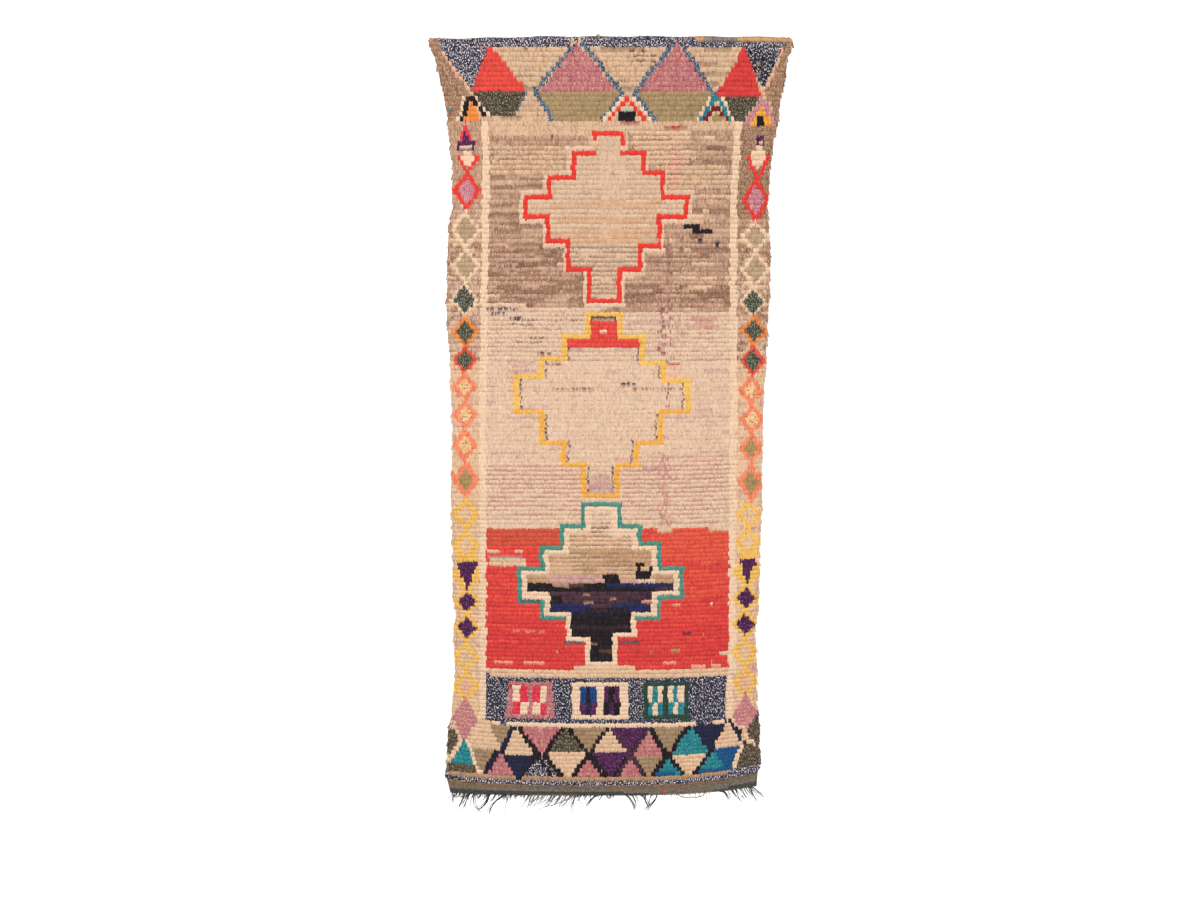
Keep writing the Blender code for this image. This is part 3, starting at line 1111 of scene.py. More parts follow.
def uneven_tones(shape):
    """Brighter and darker rows, runs and knots: the factor for each knot."""
    runs = smooth_runs(shape, RUN_LENGTH)
    factor = 1.0 + ROW_SPREAD * rng.standard_normal((shape[0], 1)) + RUN_SPREAD * runs
    return factor * (1.0 + KNOT_SPREAD * rng.standard_normal(shape))


WOOL_TONE = 0.70
DARKEST = 0.004
BRIGHTEST = 0.93


def finished_colours(chart):
    """Each knot's own colour and its flecks, toned for the studio's light, with the painted shade and
    light of the rows.
    """
    tones = uneven_tones(chart.x.shape)[..., None] * chart.groove[..., None]
    wool = np.clip(srgb_to_linear(chart.colour) * WOOL_TONE * tones, DARKEST, BRIGHTEST)
    fleck = chart.fleck.copy()
    fleck[..., :3] = srgb_to_linear(chart.fleck[..., :3]) * WOOL_TONE
    return wool, fleck


def paint_chart():
    """The whole pattern."""
    chart = make_chart()
    for step in (paint_field_grounds, paint_red_medallion, paint_yellow_medallion, paint_red_ground,
                 paint_teal_medallion, paint_border_grounds, paint_borders, paint_head, paint_foot,
                 wear, paint_row_shade):
        step(chart)
    return chart


CHART = paint_chart()
WOOL, FLECK = finished_colours(CHART)


# Materials

SHEEN_ROUGHNESS = 0.5
SPECULAR = 0.12
FLECK_GRAIN = 260.0
FLECK_DETAIL = 0.5
FLECK_STRETCH = (1.0, 0.5, 1.0)
MOTTLE_GRAIN = 170.0
MOTTLE_DETAIL = 2.0
MOTTLE_STRETCH = (1.0, 1.7, 1.0)
MOTTLE_SHADES = (0.80, 1.15)
FIBRE_DETAIL = 3.0
FIBRE_STRETCH = (1.0, 1.0, 1.0)
FIBRE_SHADES = (0.92, 1.06)
FIBRE_RELIEF = 0.0006
NOISE_REACH = (0.3, 0.7)
FLECK_EDGE = (1.0, 1.03)


def set_inputs(node, values):
    """Set a node's constants by their names."""
    for name, value in values.items():
        node.inputs[name].default_value = value


def add_links(tree, joints):
    """Join nodes: each joint is a node and its output, then a node and its input."""
    for start, output, end, entry in joints:
        tree.links.new(start.outputs[output], end.inputs[entry])


def noise_node(tree, scale, detail, stretch):
    """A noise texture over the rug, of a grain, a fineness and a stretch along the axes."""
    place = tree.nodes.new("ShaderNodeTexCoord")
    mapping = tree.nodes.new("ShaderNodeMapping")
    noise = tree.nodes.new("ShaderNodeTexNoise")
    set_inputs(mapping, {"Scale": stretch})
    set_inputs(noise, {"Scale": scale, "Detail": detail})
    add_links(tree, ((place, "Object", mapping, "Vector"), (mapping, "Vector", noise, "Vector")))
    return noise


def range_node(tree, source, target):
    """A node that turns one range of values into another."""
    node = tree.nodes.new("ShaderNodeMapRange")
    set_inputs(node, {"From Min": source[0], "From Max": source[1],
                      "To Min": target[0], "To Max": target[1]})
    return node


def colour_node(tree, blend_type):
    """A node that blends two colours."""
    node = tree.nodes.new("ShaderNodeMix")
    node.data_type = "RGBA"
    node.blend_type = blend_type
    node.inputs["Factor"].default_value = 1.0
    return node


def attribute_node(tree, name):
    """A node that reads one of a mesh's own values."""
    node = tree.nodes.new("ShaderNodeAttribute")
    node.attribute_name = name
    return node


def wool_material(name, roughness, sheen, fibre_grain, bump):
    """Wool in its points' colours, flecked and mottled, with the relief of its fibres."""
    material = bpy.data.materials.new(name)
    material.use_nodes = True
    tree = material.node_tree
    shader = tree.nodes["Principled BSDF"]
    set_inputs(shader, {"Roughness": roughness, "Sheen Weight": sheen,
                        "Sheen Roughness": SHEEN_ROUGHNESS, "Specular IOR Level": SPECULAR})
    wool = attribute_node(tree, "wool")
    fleck = attribute_node(tree, "fleck")
    grain = noise_node(tree, FLECK_GRAIN, FLECK_DETAIL, FLECK_STRETCH)
    raised = tree.nodes.new("ShaderNodeMath")
    shows = range_node(tree, FLECK_EDGE, (0.0, 1.0))
    flecked = colour_node(tree, "MIX")
    mottle = noise_node(tree, MOTTLE_GRAIN, MOTTLE_DETAIL, MOTTLE_STRETCH)
    mottle_shade = range_node(tree, NOISE_REACH, MOTTLE_SHADES)
    fibre = noise_node(tree, fibre_grain, FIBRE_DETAIL, FIBRE_STRETCH)
    fibre_shade = range_node(tree, NOISE_REACH, FIBRE_SHADES)
    shade = tree.nodes.new("ShaderNodeMath")
    shade.operation = "MULTIPLY"
    tinted = colour_node(tree, "MULTIPLY")
    relief = tree.nodes.new("ShaderNodeBump")
    set_inputs(relief, {"Strength": bump, "Distance": FIBRE_RELIEF})
    add_links(tree, (
        (grain, "Fac", raised, 0),
        (fleck, "Alpha", raised, 1),
        (raised, "Value", shows, "Value"),
        (shows, "Result", flecked, "Factor"),
        (wool, "Color", flecked, "A"),
        (fleck, "Color", flecked, "B"),
        (mottle, "Fac", mottle_shade, "Value"),
        (fibre, "Fac", fibre_shade, "Value"),
        (mottle_shade, "Result", shade, 0),
        (fibre_shade, "Result", shade, 1),
        (flecked, "Result", tinted, "A"),
        (shade, "Value", tinted, "B"),
        (tinted, "Result", shader, "Base Color"),
        (fibre, "Fac", relief, "Height"),
        (relief, "Normal", shader, "Normal"),
    ))
    return material


PILE_WOOL = wool_material("knotted_pile", roughness=0.95, sheen=0.06, fibre_grain=700.0, bump=0.30)
WOVEN_WOOL = wool_material("woven_wool", roughness=0.93, sheen=0.05, fibre_grain=900.0, bump=0.35)
WARP_WOOL = wool_material("warp_yarn", roughness=0.90, sheen=0.05, fibre_grain=1400.0, bump=0.35)


# Making meshes from arrays

def place_in_scene(name, data):
    """A new object in the scene, of a mesh, a lamp or a camera."""
    made = bpy.data.objects.new(name, data)
    bpy.context.scene.collection.objects.link(made)
    return made


def add_colours(mesh, name, colours):
    """Store a colour for each point of a mesh, with its fourth value where it has one."""
    values = np.ones((len(mesh.vertices), 4), np.float32)
    values[:, :colours.shape[1]] = colours
    mesh.attributes.new(name, "FLOAT_COLOR", "POINT").data.foreach_set("color", values.ravel())


def add_mesh(name, points, quads, triangles, colours, material, flecks=None, cells=None):
    """A smooth-shaded object from arrays: points, faces of four and three corners, and colours."""
    mesh = bpy.data.meshes.new(name)
    mesh.vertices.add(len(points))
    mesh.vertices.foreach_set("co", np.asarray(points, np.float32).ravel())
    corners = np.concatenate([quads.ravel(), triangles.ravel()]).astype(np.int32)
    sizes = np.concatenate([np.full(len(quads), 4), np.full(len(triangles), 3)])
    mesh.loops.add(len(corners))
    mesh.loops.foreach_set("vertex_index", corners)
    mesh.polygons.add(len(sizes))
    starts = np.concatenate([[0], np.cumsum(sizes)[:-1]]).astype(np.int32)
    mesh.polygons.foreach_set("loop_start", starts)
    mesh.polygons.foreach_set("use_smooth", np.ones(len(sizes), bool))
    mesh.update(calc_edges=True)
    add_colours(mesh, "wool", colours)
    add_colours(mesh, "fleck", np.zeros((len(points), 4)) if flecks is None else flecks)
    if cells is not None:
        layer = mesh.uv_layers.new(name="OFBake")
        layer.data.foreach_set("uv", np.asarray(cells, np.float32)[corners].ravel())
    mesh.materials.append(material)
    mesh.validate()
    return place_in_scene(name, mesh)


# The pile: one tuft for each knot

TUFT_POINTS = 10
TUFT_QUADS = np.array([[4, 5, 1, 0], [5, 6, 2, 1], [6, 7, 3, 2], [7, 4, 0, 3], [0, 1, 2, 3]])
TUFT_TRIANGLES = np.array([[8, 5, 4], [8, 9, 5], [9, 6, 5], [9, 7, 6], [9, 8, 7], [8, 4, 7]])
# Painted shade on each tuft's points: a darker root ring and underside, and a little painted light on
# the crest's top
TUFT_PAINTED_SHADE = np.array([0.93, 0.95, 0.93, 0.90, 0.99, 1.01, 0.99, 0.94, 1.0, 1.0])
TUFT_HALF = np.array([0] * 8 + [1] * 2)
TUFT_RIM = ((0, 4), (4, 8), (8, 9), (6, 9), (2, 6))
CELL_COLUMNS = 128
CELL_SPOTS = np.array([[0.1, 0.95], [0.5, 0.75], [0.9, 0.95], [0.5, 0.98], [0.08, 0.5], [0.5, 0.5],
                       [0.92, 0.5], [0.5, 0.9], [0.2, 0.06], [0.8, 0.06]])


def tuft_arrays(columns):
    """Where the tufts of some columns of knots start, how far they reach, and their half width."""
    across = ACROSS[columns]
    x, _ = place_on(ROW_LINES + 1.0, across)
    _, y = place_on(ROW_LINES, across)
    next_x, _ = place_on(np.minimum(ROW_LINES + 3.0, PILE_FOOT_LINE), across)
    _, next_y = place_on(ROW_LINES + 2.0, across)
    left, right = (place_on(ROW_LINES + 1.0, across + step)[0] for step in (-1.0 / KNOTS, 1.0 / KNOTS))
    return x, y, next_x - x, next_y - y, (right - left) / 2.0


def tuft_points(columns):
    """The ten points of each tuft: a root ring, a ring at its crest, and a blunt tip."""
    x, y, reach_x, reach_y, half = tuft_arrays(columns)
    shape = x.shape
    y = y + ROW_WAVE * smooth_runs(shape, WAVE_KNOTS)
    height = CHART.height[0::2, columns] * rng.normal(1.0, TUFT_HEIGHT_SPREAD, shape)
    length = rng.normal(1.0, TUFT_LENGTH_SPREAD, shape)
    lean = rng.normal(0.0, TUFT_LEAN, shape) * half
    outer = np.minimum(columns, KNOTS - 1 - columns)
    side = np.where(columns < KNOTS // 2, -1.0, 1.0)
    splay = np.where(outer < EDGE_KNOTS, EDGE_SPLAY * side * (1.0 - outer / EDGE_KNOTS), 0.0)
    lean = lean + splay * rng.uniform(0.0, EDGE_SPLAY_MOST, (shape[0], 1))
    y[0] += rng.normal(0.0, HEAD_RAG, shape[1]) - HEAD_BARE
    height = height * np.where(outer < EDGE_KNOTS, EDGE_DROP + EDGE_RISE * outer, 1.0)
    fat = half * TUFT_FATNESS * rng.normal(1.0, TUFT_FAT_SPREAD, shape)
    crest = TUFT_CREST_AT + rng.normal(0.0, TUFT_CREST_SPREAD, shape)
    crest_x = x + reach_x * crest + lean * CREST_LEAN
    crest_y = y + reach_y * crest
    crest_z = TUFT_CREST_Z * height
    tip_x = x + reach_x + lean
    tip_y = y + reach_y * TUFT_TIP_AT * length
    tip_z = TUFT_TIP_Z * height
    depth = abs(reach_y) * TUFT_ROOT_DEPTH
    blunt = fat * TUFT_TIP_SHARE
    places = (
        (x - half, y, TUFT_ROOT_Z),
        (x, y + depth, TUFT_ROOT_Z + TUFT_ROOT_RISE),
        (x + half, y, TUFT_ROOT_Z),
        (x, y - depth, TUFT_ROOT_Z - TUFT_ROOT_DROP),
        (crest_x - fat, crest_y, crest_z - TUFT_SHOULDER),
        (crest_x, crest_y, crest_z),
        (crest_x + fat, crest_y, crest_z - TUFT_SHOULDER),
        (crest_x, crest_y, TUFT_BELLY_Z),
        (tip_x - blunt, tip_y, tip_z),
        (tip_x + blunt, tip_y, tip_z),
    )
    points = [np.stack(np.broadcast_arrays(*place), -1) for place in places]
    return np.stack(points, -2).reshape(-1, 3)


def tuft_cells(rows, count):
    """A cell of the baked picture for each tuft, its neighbours beside it."""
    folds = CELL_COLUMNS // count
    high = -(-rows // folds)
    row, column = np.indices((rows, count))
    cell_x = column + count * (row // high)
    cell_y = row % high
    cells = np.empty((rows, count, TUFT_POINTS, 2))
    cells[..., 0] = (cell_x[..., None] + CELL_SPOTS[:, 0]) / CELL_COLUMNS
    cells[..., 1] = 1.0 - (cell_y[..., None] + 1.0 - CELL_SPOTS[:, 1]) / high
    return cells.reshape(-1, 2)


def sharpen_rims(mesh):
    """Shade each tuft's upper side apart from its underside."""
    ends = np.empty(len(mesh.edges) * 2, np.int32)
    mesh.edges.foreach_get("vertices", ends)
    ends = np.sort(ends.reshape(-1, 2) % TUFT_POINTS, axis=1)
    rim = [low * TUFT_POINTS + high for low, high in TUFT_RIM]
    sharp = np.isin(ends[:, 0] * TUFT_POINTS + ends[:, 1], rim)
    mesh.attributes.new("sharp_edge", "BOOLEAN", "EDGE").data.foreach_set("value", sharp)


def tuft_halves(values, columns):
    """Values of both halves of the chart's knots, one row of them for each tuft."""
    width = values.shape[-1]
    halves = values[:, columns].reshape(TUFT_ROWS, 2, len(columns), width)
    return halves.transpose(0, 2, 1, 3).reshape(-1, 2, width)[:, TUFT_HALF]


def make_pile_strip(index):
    """One lengthwise strip of the pile."""
    count = KNOTS // STRIPS
    columns = np.arange(index * count, (index + 1) * count)
    points = tuft_points(columns)
    tufts = TUFT_ROWS * count
    first = (np.arange(tufts) * TUFT_POINTS)[:, None, None]
    quads = (first + TUFT_QUADS[None]).reshape(-1, 4)
    triangles = (first + TUFT_TRIANGLES[None]).reshape(-1, 3)
    # Painted shade: each tuft's tip is darkened at random, a dotted shadow line between the rows
    tip_shade = np.where(TUFT_HALF[None, :] == 1, rng.uniform(TIP_PAINTED_SHADE, 1.0, (tufts, 1)), 1.0)
    wool = tuft_halves(WOOL, columns) * (tip_shade * TUFT_PAINTED_SHADE)[..., None]
    flecks = tuft_halves(FLECK, columns)
    strip = add_mesh(f"pile_{index + 1}", points, quads, triangles, wool.reshape(-1, 3), PILE_WOOL,
                     flecks.reshape(-1, 4), tuft_cells(TUFT_ROWS, count))
    sharpen_rims(strip.data)
    return strip


# The woven cloth under the pile and at the two ends

def make_slab(name, lines, across, heights, colours, flecks=None):
    """A closed sheet over a grid of the cloth's lines and columns, from what its two sides have."""
    x, y = place_on(lines, across)
    points = np.concatenate([np.stack([x, y, height], -1).reshape(-1, 3) for height in heights])
    high, wide = x.shape
    offset = high * wide
    index = np.arange(offset).reshape(high, wide)
    corners = index[:-1, :-1], index[1:, :-1], index[1:, 1:], index[:-1, 1:]
    face_up = np.stack(corners, -1).reshape(-1, 4)
    rim = np.concatenate([index[0, ::-1], index[1:, 0], index[-1, 1:], index[-2:0:-1, -1]])
    after = np.roll(rim, -1)
    walls = np.stack([rim, rim + offset, after + offset, after], -1)
    quads = np.concatenate([face_up, face_up[:, ::-1] + offset, walls])
    colours = np.concatenate([side.reshape(-1, 3) for side in colours])
    if flecks is not None:
        flecks = np.tile(flecks.reshape(-1, 4), (2, 1))
    return add_mesh(name, points, quads, np.empty((0, 3), int), colours, WOVEN_WOOL, flecks)


def mixed_colours(shape, yarn):
    """Wool colours picked at random from one yarn's dyes."""
    return srgb_to_linear(pick_dyes(yarn, shape)) * WOOL_TONE


def make_ground():
    """The woven ground under the pile, whose underside shows the backs of the knots."""
    lines = np.arange(PILE_HEAD_LINE - 1, PILE_FOOT_LINE + 2, dtype=float)
    across = np.linspace(-1.0, 1.0, GROUND_COLUMNS)
    shape = (len(lines), len(across))
    crest = (np.arange(shape[0]) % 2 == 0)[:, None]
    weave = (np.indices(shape).sum(0) % 2) * GROUND_WEAVE
    heights = GROUND_TOP - GROUND_RELIEF * weave, GROUND_RELIEF * np.where(crest, weave, 1.0)
    row = 2 * np.clip((np.arange(shape[0]) + 1) // 2, 0, ROWS)
    knot = np.clip(((across + 1.0) / 2.0 * KNOTS).astype(int), 0, KNOTS - 1)
    knots = WOOL[row][:, knot]
    # Painted shade on the underside: the recessed lines between the knot backs are darker
    back = knots * np.where(crest, *BACK_PAINTED_SHADES)[..., None]
    # Painted shade under the pile: the knots' colour darkened, with a share of the warp's own colour
    upper = mixed_colours(shape, "base warp") * WARP_SHARE + knots * GROUND_PAINTED_SHADE
    return make_slab("ground_weave", lines, across, heights, (upper, back), FLECK[row][:, knot])


def weft_lines(first, last):
    """Crest and groove of each weft of a woven end, as places between two of the cloth's lines."""
    known = np.arange(first, last + 1)
    _, y = place_on(known, [0.0])
    wefts = max(3, int(round(abs(y[-1, 0] - y[0, 0]) / WEFT_PITCH)))
    even = np.linspace(y[0, 0], y[-1, 0], 2 * wefts + 1)
    return np.interp(-even, -y[:, 0], known)


def end_heights(shape):
    """Weft ridges over and under the warps, on both sides."""
    row, column = np.indices(shape)
    groove = 1.0 - row % 2
    over = (column // 2 + row // 2) % 2
    top = END_TOP - END_RELIEF * groove - END_OVER * over + rng.normal(0.0, END_SPREAD, shape)
    return top, UNDER_RELIEF * groove + UNDER_OVER * over


# Left, right, first weft and number of wefts of each streak
HEAD_STREAKS = """
head ochre: 568 794 0 9
head grey: 704 737 0 3
"""
FOOT_STREAKS = """
foot brown: 440 486 2 7 / 486 530 4 3 / 600 712 4 4
olive core: 450 464 2 2
foot line: 476 700 3 1
faded tan: 640 712 2 2 / 690 745 2 1
faded wine: 652 700 6 1 / 607 617 4 1
foot edge: 440 624 11 9 / 624 648 13 7 / 648 676 16 4
foot brown: 712 757 3 3
foot edge: 696 712 16 4 / 712 728 14 6 / 728 757 11 9
brick: 661 666 10 2
"""


def make_woven_end(name, first, last, yarn, streaks):
    """One flat-woven end of the cloth, with streaks of other yarns along some of its wefts."""
    lines = weft_lines(first, last)
    across = np.linspace(-1.0, 1.0, END_COLUMNS)
    px = chart_x(place_on(lines, across)[0])
    shape = px.shape
    heights = end_heights(shape)
    colours = mixed_colours(shape, yarn)
    weft = np.arange(shape[0])[:, None] / 2.0
    for streak_yarn, (left, right, first_weft, wefts), _ in read_table(streaks):
        mask = (px > left) & (px < right) & (weft >= first_weft) & (weft < first_weft + wefts)
        colours[mask] = mixed_colours(shape, streak_yarn)[mask]
    weft_tones = 1.0 + WEFT_SPREAD * rng.standard_normal((shape[0], 1))
    colours = colours * weft_tones[..., None] * rng.normal(1.0, WOVEN_SPREAD, shape)[..., None]
    # Painted shade: the wefts that lie low in the grooves are darker
    colours *= np.where(np.arange(shape[0]) % 2 == 1, 1.0, GROOVE_PAINTED_SHADE)[:, None, None]
    colours = np.clip(colours, DARKEST, BRIGHTEST)
    return make_slab(name, lines, across, heights, (colours, colours))


# The fringe: warp ends, singly, in frayed bundles and in combed runs

# Copies, width and course of each frayed bundle
STRANDS = """
warp dark: 2 0.9 452.5,792 454.2,799 455.5,806 / 2 0.9 456,793 454.5,797 456,799
warp dark: 3 1.0 465,792.5 461.5,801 458.5,808.5 / 2 0.9 468.5,792.5 465,800 461,808
warp dark: 4 1.1 471,791.5 467,799.5 463,809 / 3 1.0 476.3,792.5 472.7,801 476.3,811
warp grey: 1 0.8 478,793 474.5,802 478,812
warp dark: 4 0.9 488.5,793.5 486.3,802 481,807.8 475.8,809.5 / 3 1.0 496.5,793.5 493.5,798 492,801
warp dark: 5 0.9 505.5,794 497,800.5 491.5,807 488.5,814 / 3 1.0 503,794 499.5,798 496,800
warp grey: 1 0.9 509,794 507,803 505.6,815 / 1 0.8 572,796 554,804.5 543,807.5 532.5,814
warp grey: 1 0.7 534,796 532,806 530.5,817 / 2 0.8 575.5,795.5 572.5,806 569.5,813.5
warp grey: 1 0.9 578.5,795.5 579.8,801 587.3,812
warp dark: 4 1.0 597,795 590.5,800.5 587,808
warp green: 4 1.0 626.5,794 632,801.5 635,810 / 3 1.0 631,794 634.5,800 634.8,808
warp green: 2 0.8 635.5,794 637.5,801 639.3,808.5 / 3 0.9 642,794 646.5,800.5 649.3,807
warp green: 2 0.9 646,794 645,800 647,805 / 3 0.9 652,793 649.5,800 648.5,806
warp green: 4 0.9 656.8,793 654.6,799.5 649.5,805.5 645,810.8
warp dark: 2 1.0 719,790.5 724,793 727,796 / 4 1.0 721.5,790 725.5,793.5 729,799
warp dark: 2 1.0 749,787 753.5,791 757,796 / 4 1.0 752,786.5 757.5,791 763,797.5
"""
# Number of bundles, copies, width, left, right and top, then how far their middles and their tips
# lie aside, and how far they drop
COMBS = """
warp dark: 8 4 1.3 507 530 793 -1.5 -2.5 5.5
warp grey: 12 1 1.1 532 574 795 -3.0 -8.0 13
warp brown: 18 1 1.2 530 576 795 -3.5 -8.0 10
warp dark: 8 2 1.1 578 602 794 -1.0 -3.0 5 / 4 3 1.1 607 614 794 -0.5 0.5 3.5
warp grey: 7 1 0.8 666 700 794 0.2 0.6 4
warp dark: 12 2 0.8 727 750 788 3.0 6.5 12 / 30 2 1.0 453 508 791 -1.4 -3.0 7
"""
YARN_STEPS = 7
YARN_SIDES = 5
YARN_RADIUS = 0.0024
YARN_TIP = 0.34
YARN_THICKNESS = (0.6, 1.1)
ROOT_SPREAD_PX = 0.5
TIP_SPREAD_PX = 1.6
COMB_SPREAD_PX = 0.6
COMB_LENGTHS = (0.7, 1.15)
COMB_MIDDLE = 0.55
FOOT_TUCK = 0.006
FOOT_CLEAR = 0.001
FOOT_STEPS = 101
FALL_OVER = 3.0
WARP_Z = END_TOP / 2.0


def tube(path, radii, sides):
    """Rings of points round a path that lies about level, and its faces."""
    path = np.asarray(path, float)
    along = np.gradient(path, axis=0)
    along /= np.linalg.norm(along, axis=1)[:, None]
    sideways = np.cross(along, [0.0, 0.0, 1.0])
    sideways /= np.linalg.norm(sideways, axis=1)[:, None]
    upward = np.cross(sideways, along)
    turns = (np.arange(sides) * 2.0 * math.pi / sides)[None, :, None]
    round_it = np.cos(turns) * sideways[:, None] + np.sin(turns) * upward[:, None]
    rings = path[:, None] + radii[:, None, None] * round_it
    index = np.arange(len(path) * sides).reshape(-1, sides)
    after = np.roll(index, -1, axis=1)
    quads = np.stack([index[1:], after[1:], after[:-1], index[:-1]], -1).reshape(-1, 4)
    caps = [[index[0, 0], index[0, side], index[0, side + 1]] for side in range(1, sides - 1)]
    caps += [[index[-1, 0], index[-1, side + 1], index[-1, side]] for side in range(1, sides - 1)]
    return rings.reshape(-1, 3), quads, np.array(caps)


class Yarns:
    """Many tubes gathered into one mesh."""

    def __init__(self):
        self.tubes = []
        self.count = 0

    def add(self, path, radii, yarn, sides=YARN_SIDES):
        """One more tube, of one dye of a yarn."""
        colour = mixed_colours((), yarn)
        points, quads, triangles = tube(path, radii, sides)
        colours = np.broadcast_to(colour, points.shape)
        self.tubes.append((points, quads + self.count, triangles + self.count, colours))
        self.count += len(points)

    def make(self, name):
        """The mesh of all the tubes."""
        return add_mesh(name, *(np.concatenate(parts) for parts in zip(*self.tubes)), WARP_WOOL)


def foot_y(x):
    """How far along the rug the foot edge lies at a place across it."""
    across = np.linspace(-1.0, 1.0, FOOT_STEPS)
    edge_x, edge_y = place_on([FOOT_LINE], across)
    return float(np.interp(x, edge_x[0], edge_y[0]))


def curve_through(places):
    """A smooth curve on the chart through three or four places."""
    places = np.array(places)
    known = np.linspace(0.0, 1.0, len(places))
    share = np.linspace(0.0, 1.0, YARN_STEPS)
    fits = [np.polyval(np.polyfit(known, part, len(places) - 1), share) for part in places.T]
    return np.stack(fits, -1), share


def warp_path(places, width):
    """The middle of one warp end: out of the cloth's edge, down onto the floor and away."""
    places, share = curve_through(places)
    root, tip = ROOT_SPREAD_PX * rng.standard_normal(2), TIP_SPREAD_PX * rng.standard_normal(2)
    places = places + root + share[:, None] ** 2 * (tip - root)
    x, y = rug_place(places[:, 0], places[:, 1])
    level = width + (WARP_Z - width) * np.clip(1.0 - FALL_OVER * share, 0.0, 1.0)
    path = np.stack([x, y, level], -1)
    path[0, 1] = min(y[0], foot_y(x[0]) - FOOT_CLEAR)
    return np.concatenate([[(x[0], foot_y(x[0]) + FOOT_TUCK, WARP_Z)], path])


def add_strand(yarns, yarn, copies, width, places):
    """One warp end, frayed into its copies."""
    for _ in range(int(copies)):
        radius = min(YARN_RADIUS * width * rng.uniform(*YARN_THICKNESS), WARP_Z)
        radii = radius * np.linspace(1.0, YARN_TIP, YARN_STEPS + 1)
        yarns.add(warp_path(places, radius), radii, yarn)


def comb_courses(count, left, right, top, middle, tip, drop):
    """The courses of many like warp ends in a row, of uneven lengths."""
    for x in np.linspace(left, right, int(count)):
        x += rng.normal(0.0, COMB_SPREAD_PX)
        fall = drop * rng.uniform(*COMB_LENGTHS)
        yield (x, top), (x + middle, top + fall * COMB_MIDDLE), (x + tip, top + fall)


def make_fringe():
    """The warp ends at the foot."""
    yarns = Yarns()
    for yarn, (copies, width), places in read_table(STRANDS):
        add_strand(yarns, yarn, copies, width, places)
    for yarn, (count, copies, width, *row), _ in read_table(COMBS):
        for places in comb_courses(count, *row):
            add_strand(yarns, yarn, copies, width, places)
    return yarns.make("fringe_yarns")


# Loose threads: a tan loop and red stitches at the foot, a knot and frayed hairs at the head

# Radius, radius at the tip, height and height at the tip of each, in millimetres, and its course
THREADS = """
loop tan: 1.8 1.8 5.2 5.2 675.7,790 678.4,795 683,797.2 690,797 696.7,797.2 702.8,795.4 707.4,789.5
thread red: 1 0.5 5.2 1.2 706,793 706.6,799 706,804
thread red: 1 0.5 5.2 1.2 709,791.5 710.8,798 712.2,804.5
thread red: 1 0.5 5.2 1.2 661.5,791 662.5,795 664,798.5
head ochre: 2.6 2.6 4 4 594.5,39 596.6,35.5 598.2,34.2 599.6,35.8 600.8,39
"""
MILLIMETRE = 0.001
HAIR_COUNT = 26
HAIR_LENGTH = 0.010
HAIR_FROM = 0.94
HAIR_ROOT = (0.004, 0.003)
HAIR_TURN = 0.9
HAIR_LEAN = 0.4
HAIR_TIP_Z = 0.0012
HAIR_RADII = np.linspace(0.0007, 0.0003, 4)


def chart_path(places, start_z, end_z):
    """A path through places in the view, between two heights, with points between them."""
    known = np.arange(len(places))
    fine = np.linspace(0.0, len(places) - 1.0, 4 * len(places))
    px, py = (np.interp(fine, known, part) for part in np.array(places).T)
    return np.stack([*rug_place(px, py), np.linspace(start_z, end_z, len(fine))], -1)


def make_loose_threads():
    """The stray threads on the two ends."""
    yarns = Yarns()
    for yarn, sizes, places in read_table(THREADS):
        radius, tip_radius, start_z, end_z = np.array(sizes) * MILLIMETRE
        path = chart_path(places, start_z, end_z)
        yarns.add(path, np.linspace(radius, tip_radius, len(path)), yarn)
    for side in (-1.0, 1.0):
        for _ in range(HAIR_COUNT // 2):
            x, y = place_on([HEAD_LINE], [side * rng.uniform(HAIR_FROM, 1.0)])
            inset, height = HAIR_ROOT
            start = np.array([x[0, 0], y[0, 0] - inset, height])
            turn = rng.uniform(-HAIR_TURN, HAIR_TURN) + HAIR_LEAN * side
            end = start + HAIR_LENGTH * np.array([math.sin(turn), abs(math.cos(turn)), 0.0])
            end[2] = HAIR_TIP_Z
            yarns.add(np.linspace(start, end, 4), HAIR_RADII, "head weave", 4)
    return yarns.make("loose_threads")


# Putting the rug together

def make_rug():
    """Every piece of the rug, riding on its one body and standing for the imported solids."""
    ground = make_ground()
    head_end = make_woven_end("head_end", HEAD_LINE, PILE_HEAD_LINE, "head weave", HEAD_STREAKS)
    foot_end = make_woven_end("foot_end", PILE_FOOT_LINE, FOOT_LINE, "foot weave", FOOT_STREAKS)
    pile = [make_pile_strip(index) for index in range(STRIPS)]
    fringe = make_fringe()
    threads = make_loose_threads()
    for piece in [ground, head_end, foot_end, fringe, threads] + pile:
        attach(piece, "root")
    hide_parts("rug")
    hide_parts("fringe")
    ground_area()


def ground_area():
    """The flat area of the pile's ground, from its edges."""
    lines = np.arange(PILE_HEAD_LINE - 1, PILE_FOOT_LINE + 2)
    width = RIGHT[lines, 0] - LEFT[lines, 0]
    steps = -np.diff(MIDDLE_Y[lines])
    return float(((width[1:] + width[:-1]) / 2.0 * steps).sum())


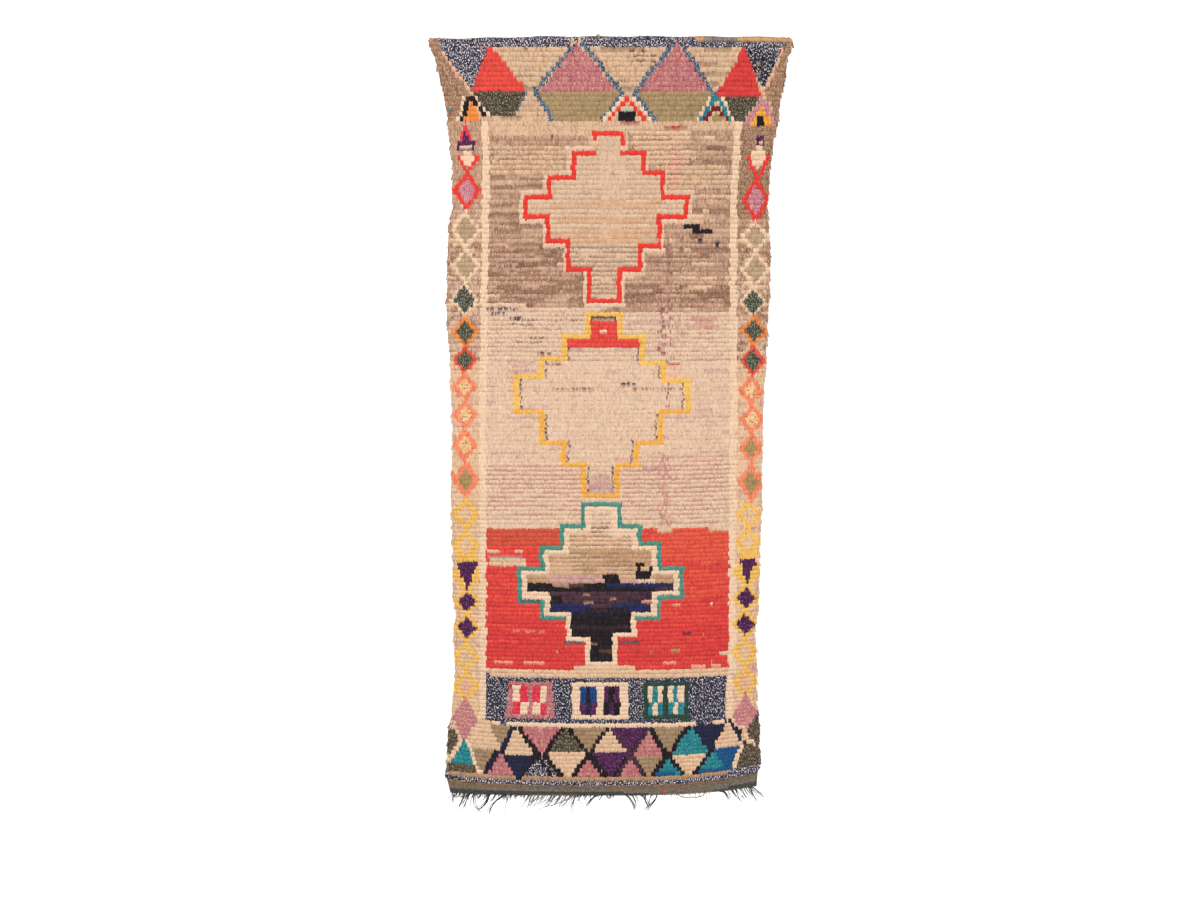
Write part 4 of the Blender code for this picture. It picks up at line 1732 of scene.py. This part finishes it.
def make_floor():
    """A plain white studio floor."""
    size = FLOOR_SIZE
    mesh = bpy.data.meshes.new("floor")
    corners = [(-size, -size, 0.0), (size, -size, 0.0), (size, size, 0.0), (-size, size, 0.0)]
    mesh.from_pydata(corners, [], [(0, 1, 2, 3)])
    material = bpy.data.materials.new("studio_white")
    material.use_nodes = True
    set_inputs(material.node_tree.nodes["Principled BSDF"], {
        "Base Color": FLOOR_WHITE, "Roughness": FLOOR_ROUGHNESS,
        "Emission Color": WHITE, "Emission Strength": FLOOR_GLOW})
    mesh.materials.append(material)
    floor = place_in_scene("floor", mesh)
    floor.location.z = FLOOR_Z
    floor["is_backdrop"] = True


def make_camera():
    """A camera straight above, which sees as much floor as the photograph."""
    data = bpy.data.cameras.new("camera")
    data.sensor_width = SENSOR
    data.lens = SENSOR * CAMERA_HEIGHT / (VIEW_WIDTH_PX * PIXEL)
    camera = place_in_scene("camera", data)
    camera.location = (*rug_place(*VIEW_MIDDLE_PX), CAMERA_HEIGHT)
    bpy.context.scene.camera = camera


Lamp = namedtuple("Lamp", "name place size power")
LAMPS = (
    Lamp("key", (-1.4, 2.6, 5.2), 3.2, 230.0),
    Lamp("fill", (1.6, -2.4, 5.4), 3.6, 130.0),
)
WORLD_STRENGTH = 0.80


def make_lights():
    """Two soft lamps and an even white world."""
    for lamp in LAMPS:
        data = bpy.data.lights.new(lamp.name, "AREA")
        data.size = lamp.size
        data.energy = lamp.power
        light = place_in_scene(lamp.name, data)
        light.location = lamp.place
        light.rotation_euler = (-light.location).to_track_quat("-Z", "Y").to_euler()
    world = bpy.data.worlds.new("studio")
    world.use_nodes = True
    set_inputs(world.node_tree.nodes["Background"],
               {"Color": WHITE, "Strength": WORLD_STRENGTH})
    bpy.context.scene.world = world
    bpy.context.scene.view_settings.view_transform = "Standard"


def write_sizes():
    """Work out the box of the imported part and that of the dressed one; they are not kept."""
    boxes = {"cad": CAD_BOUNDS, "visual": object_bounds()}
    plain = {name: [list(corner) for corner in box] for name, box in boxes.items()}


make_rug()
make_floor()
make_camera()
make_lights()
write_sizes()
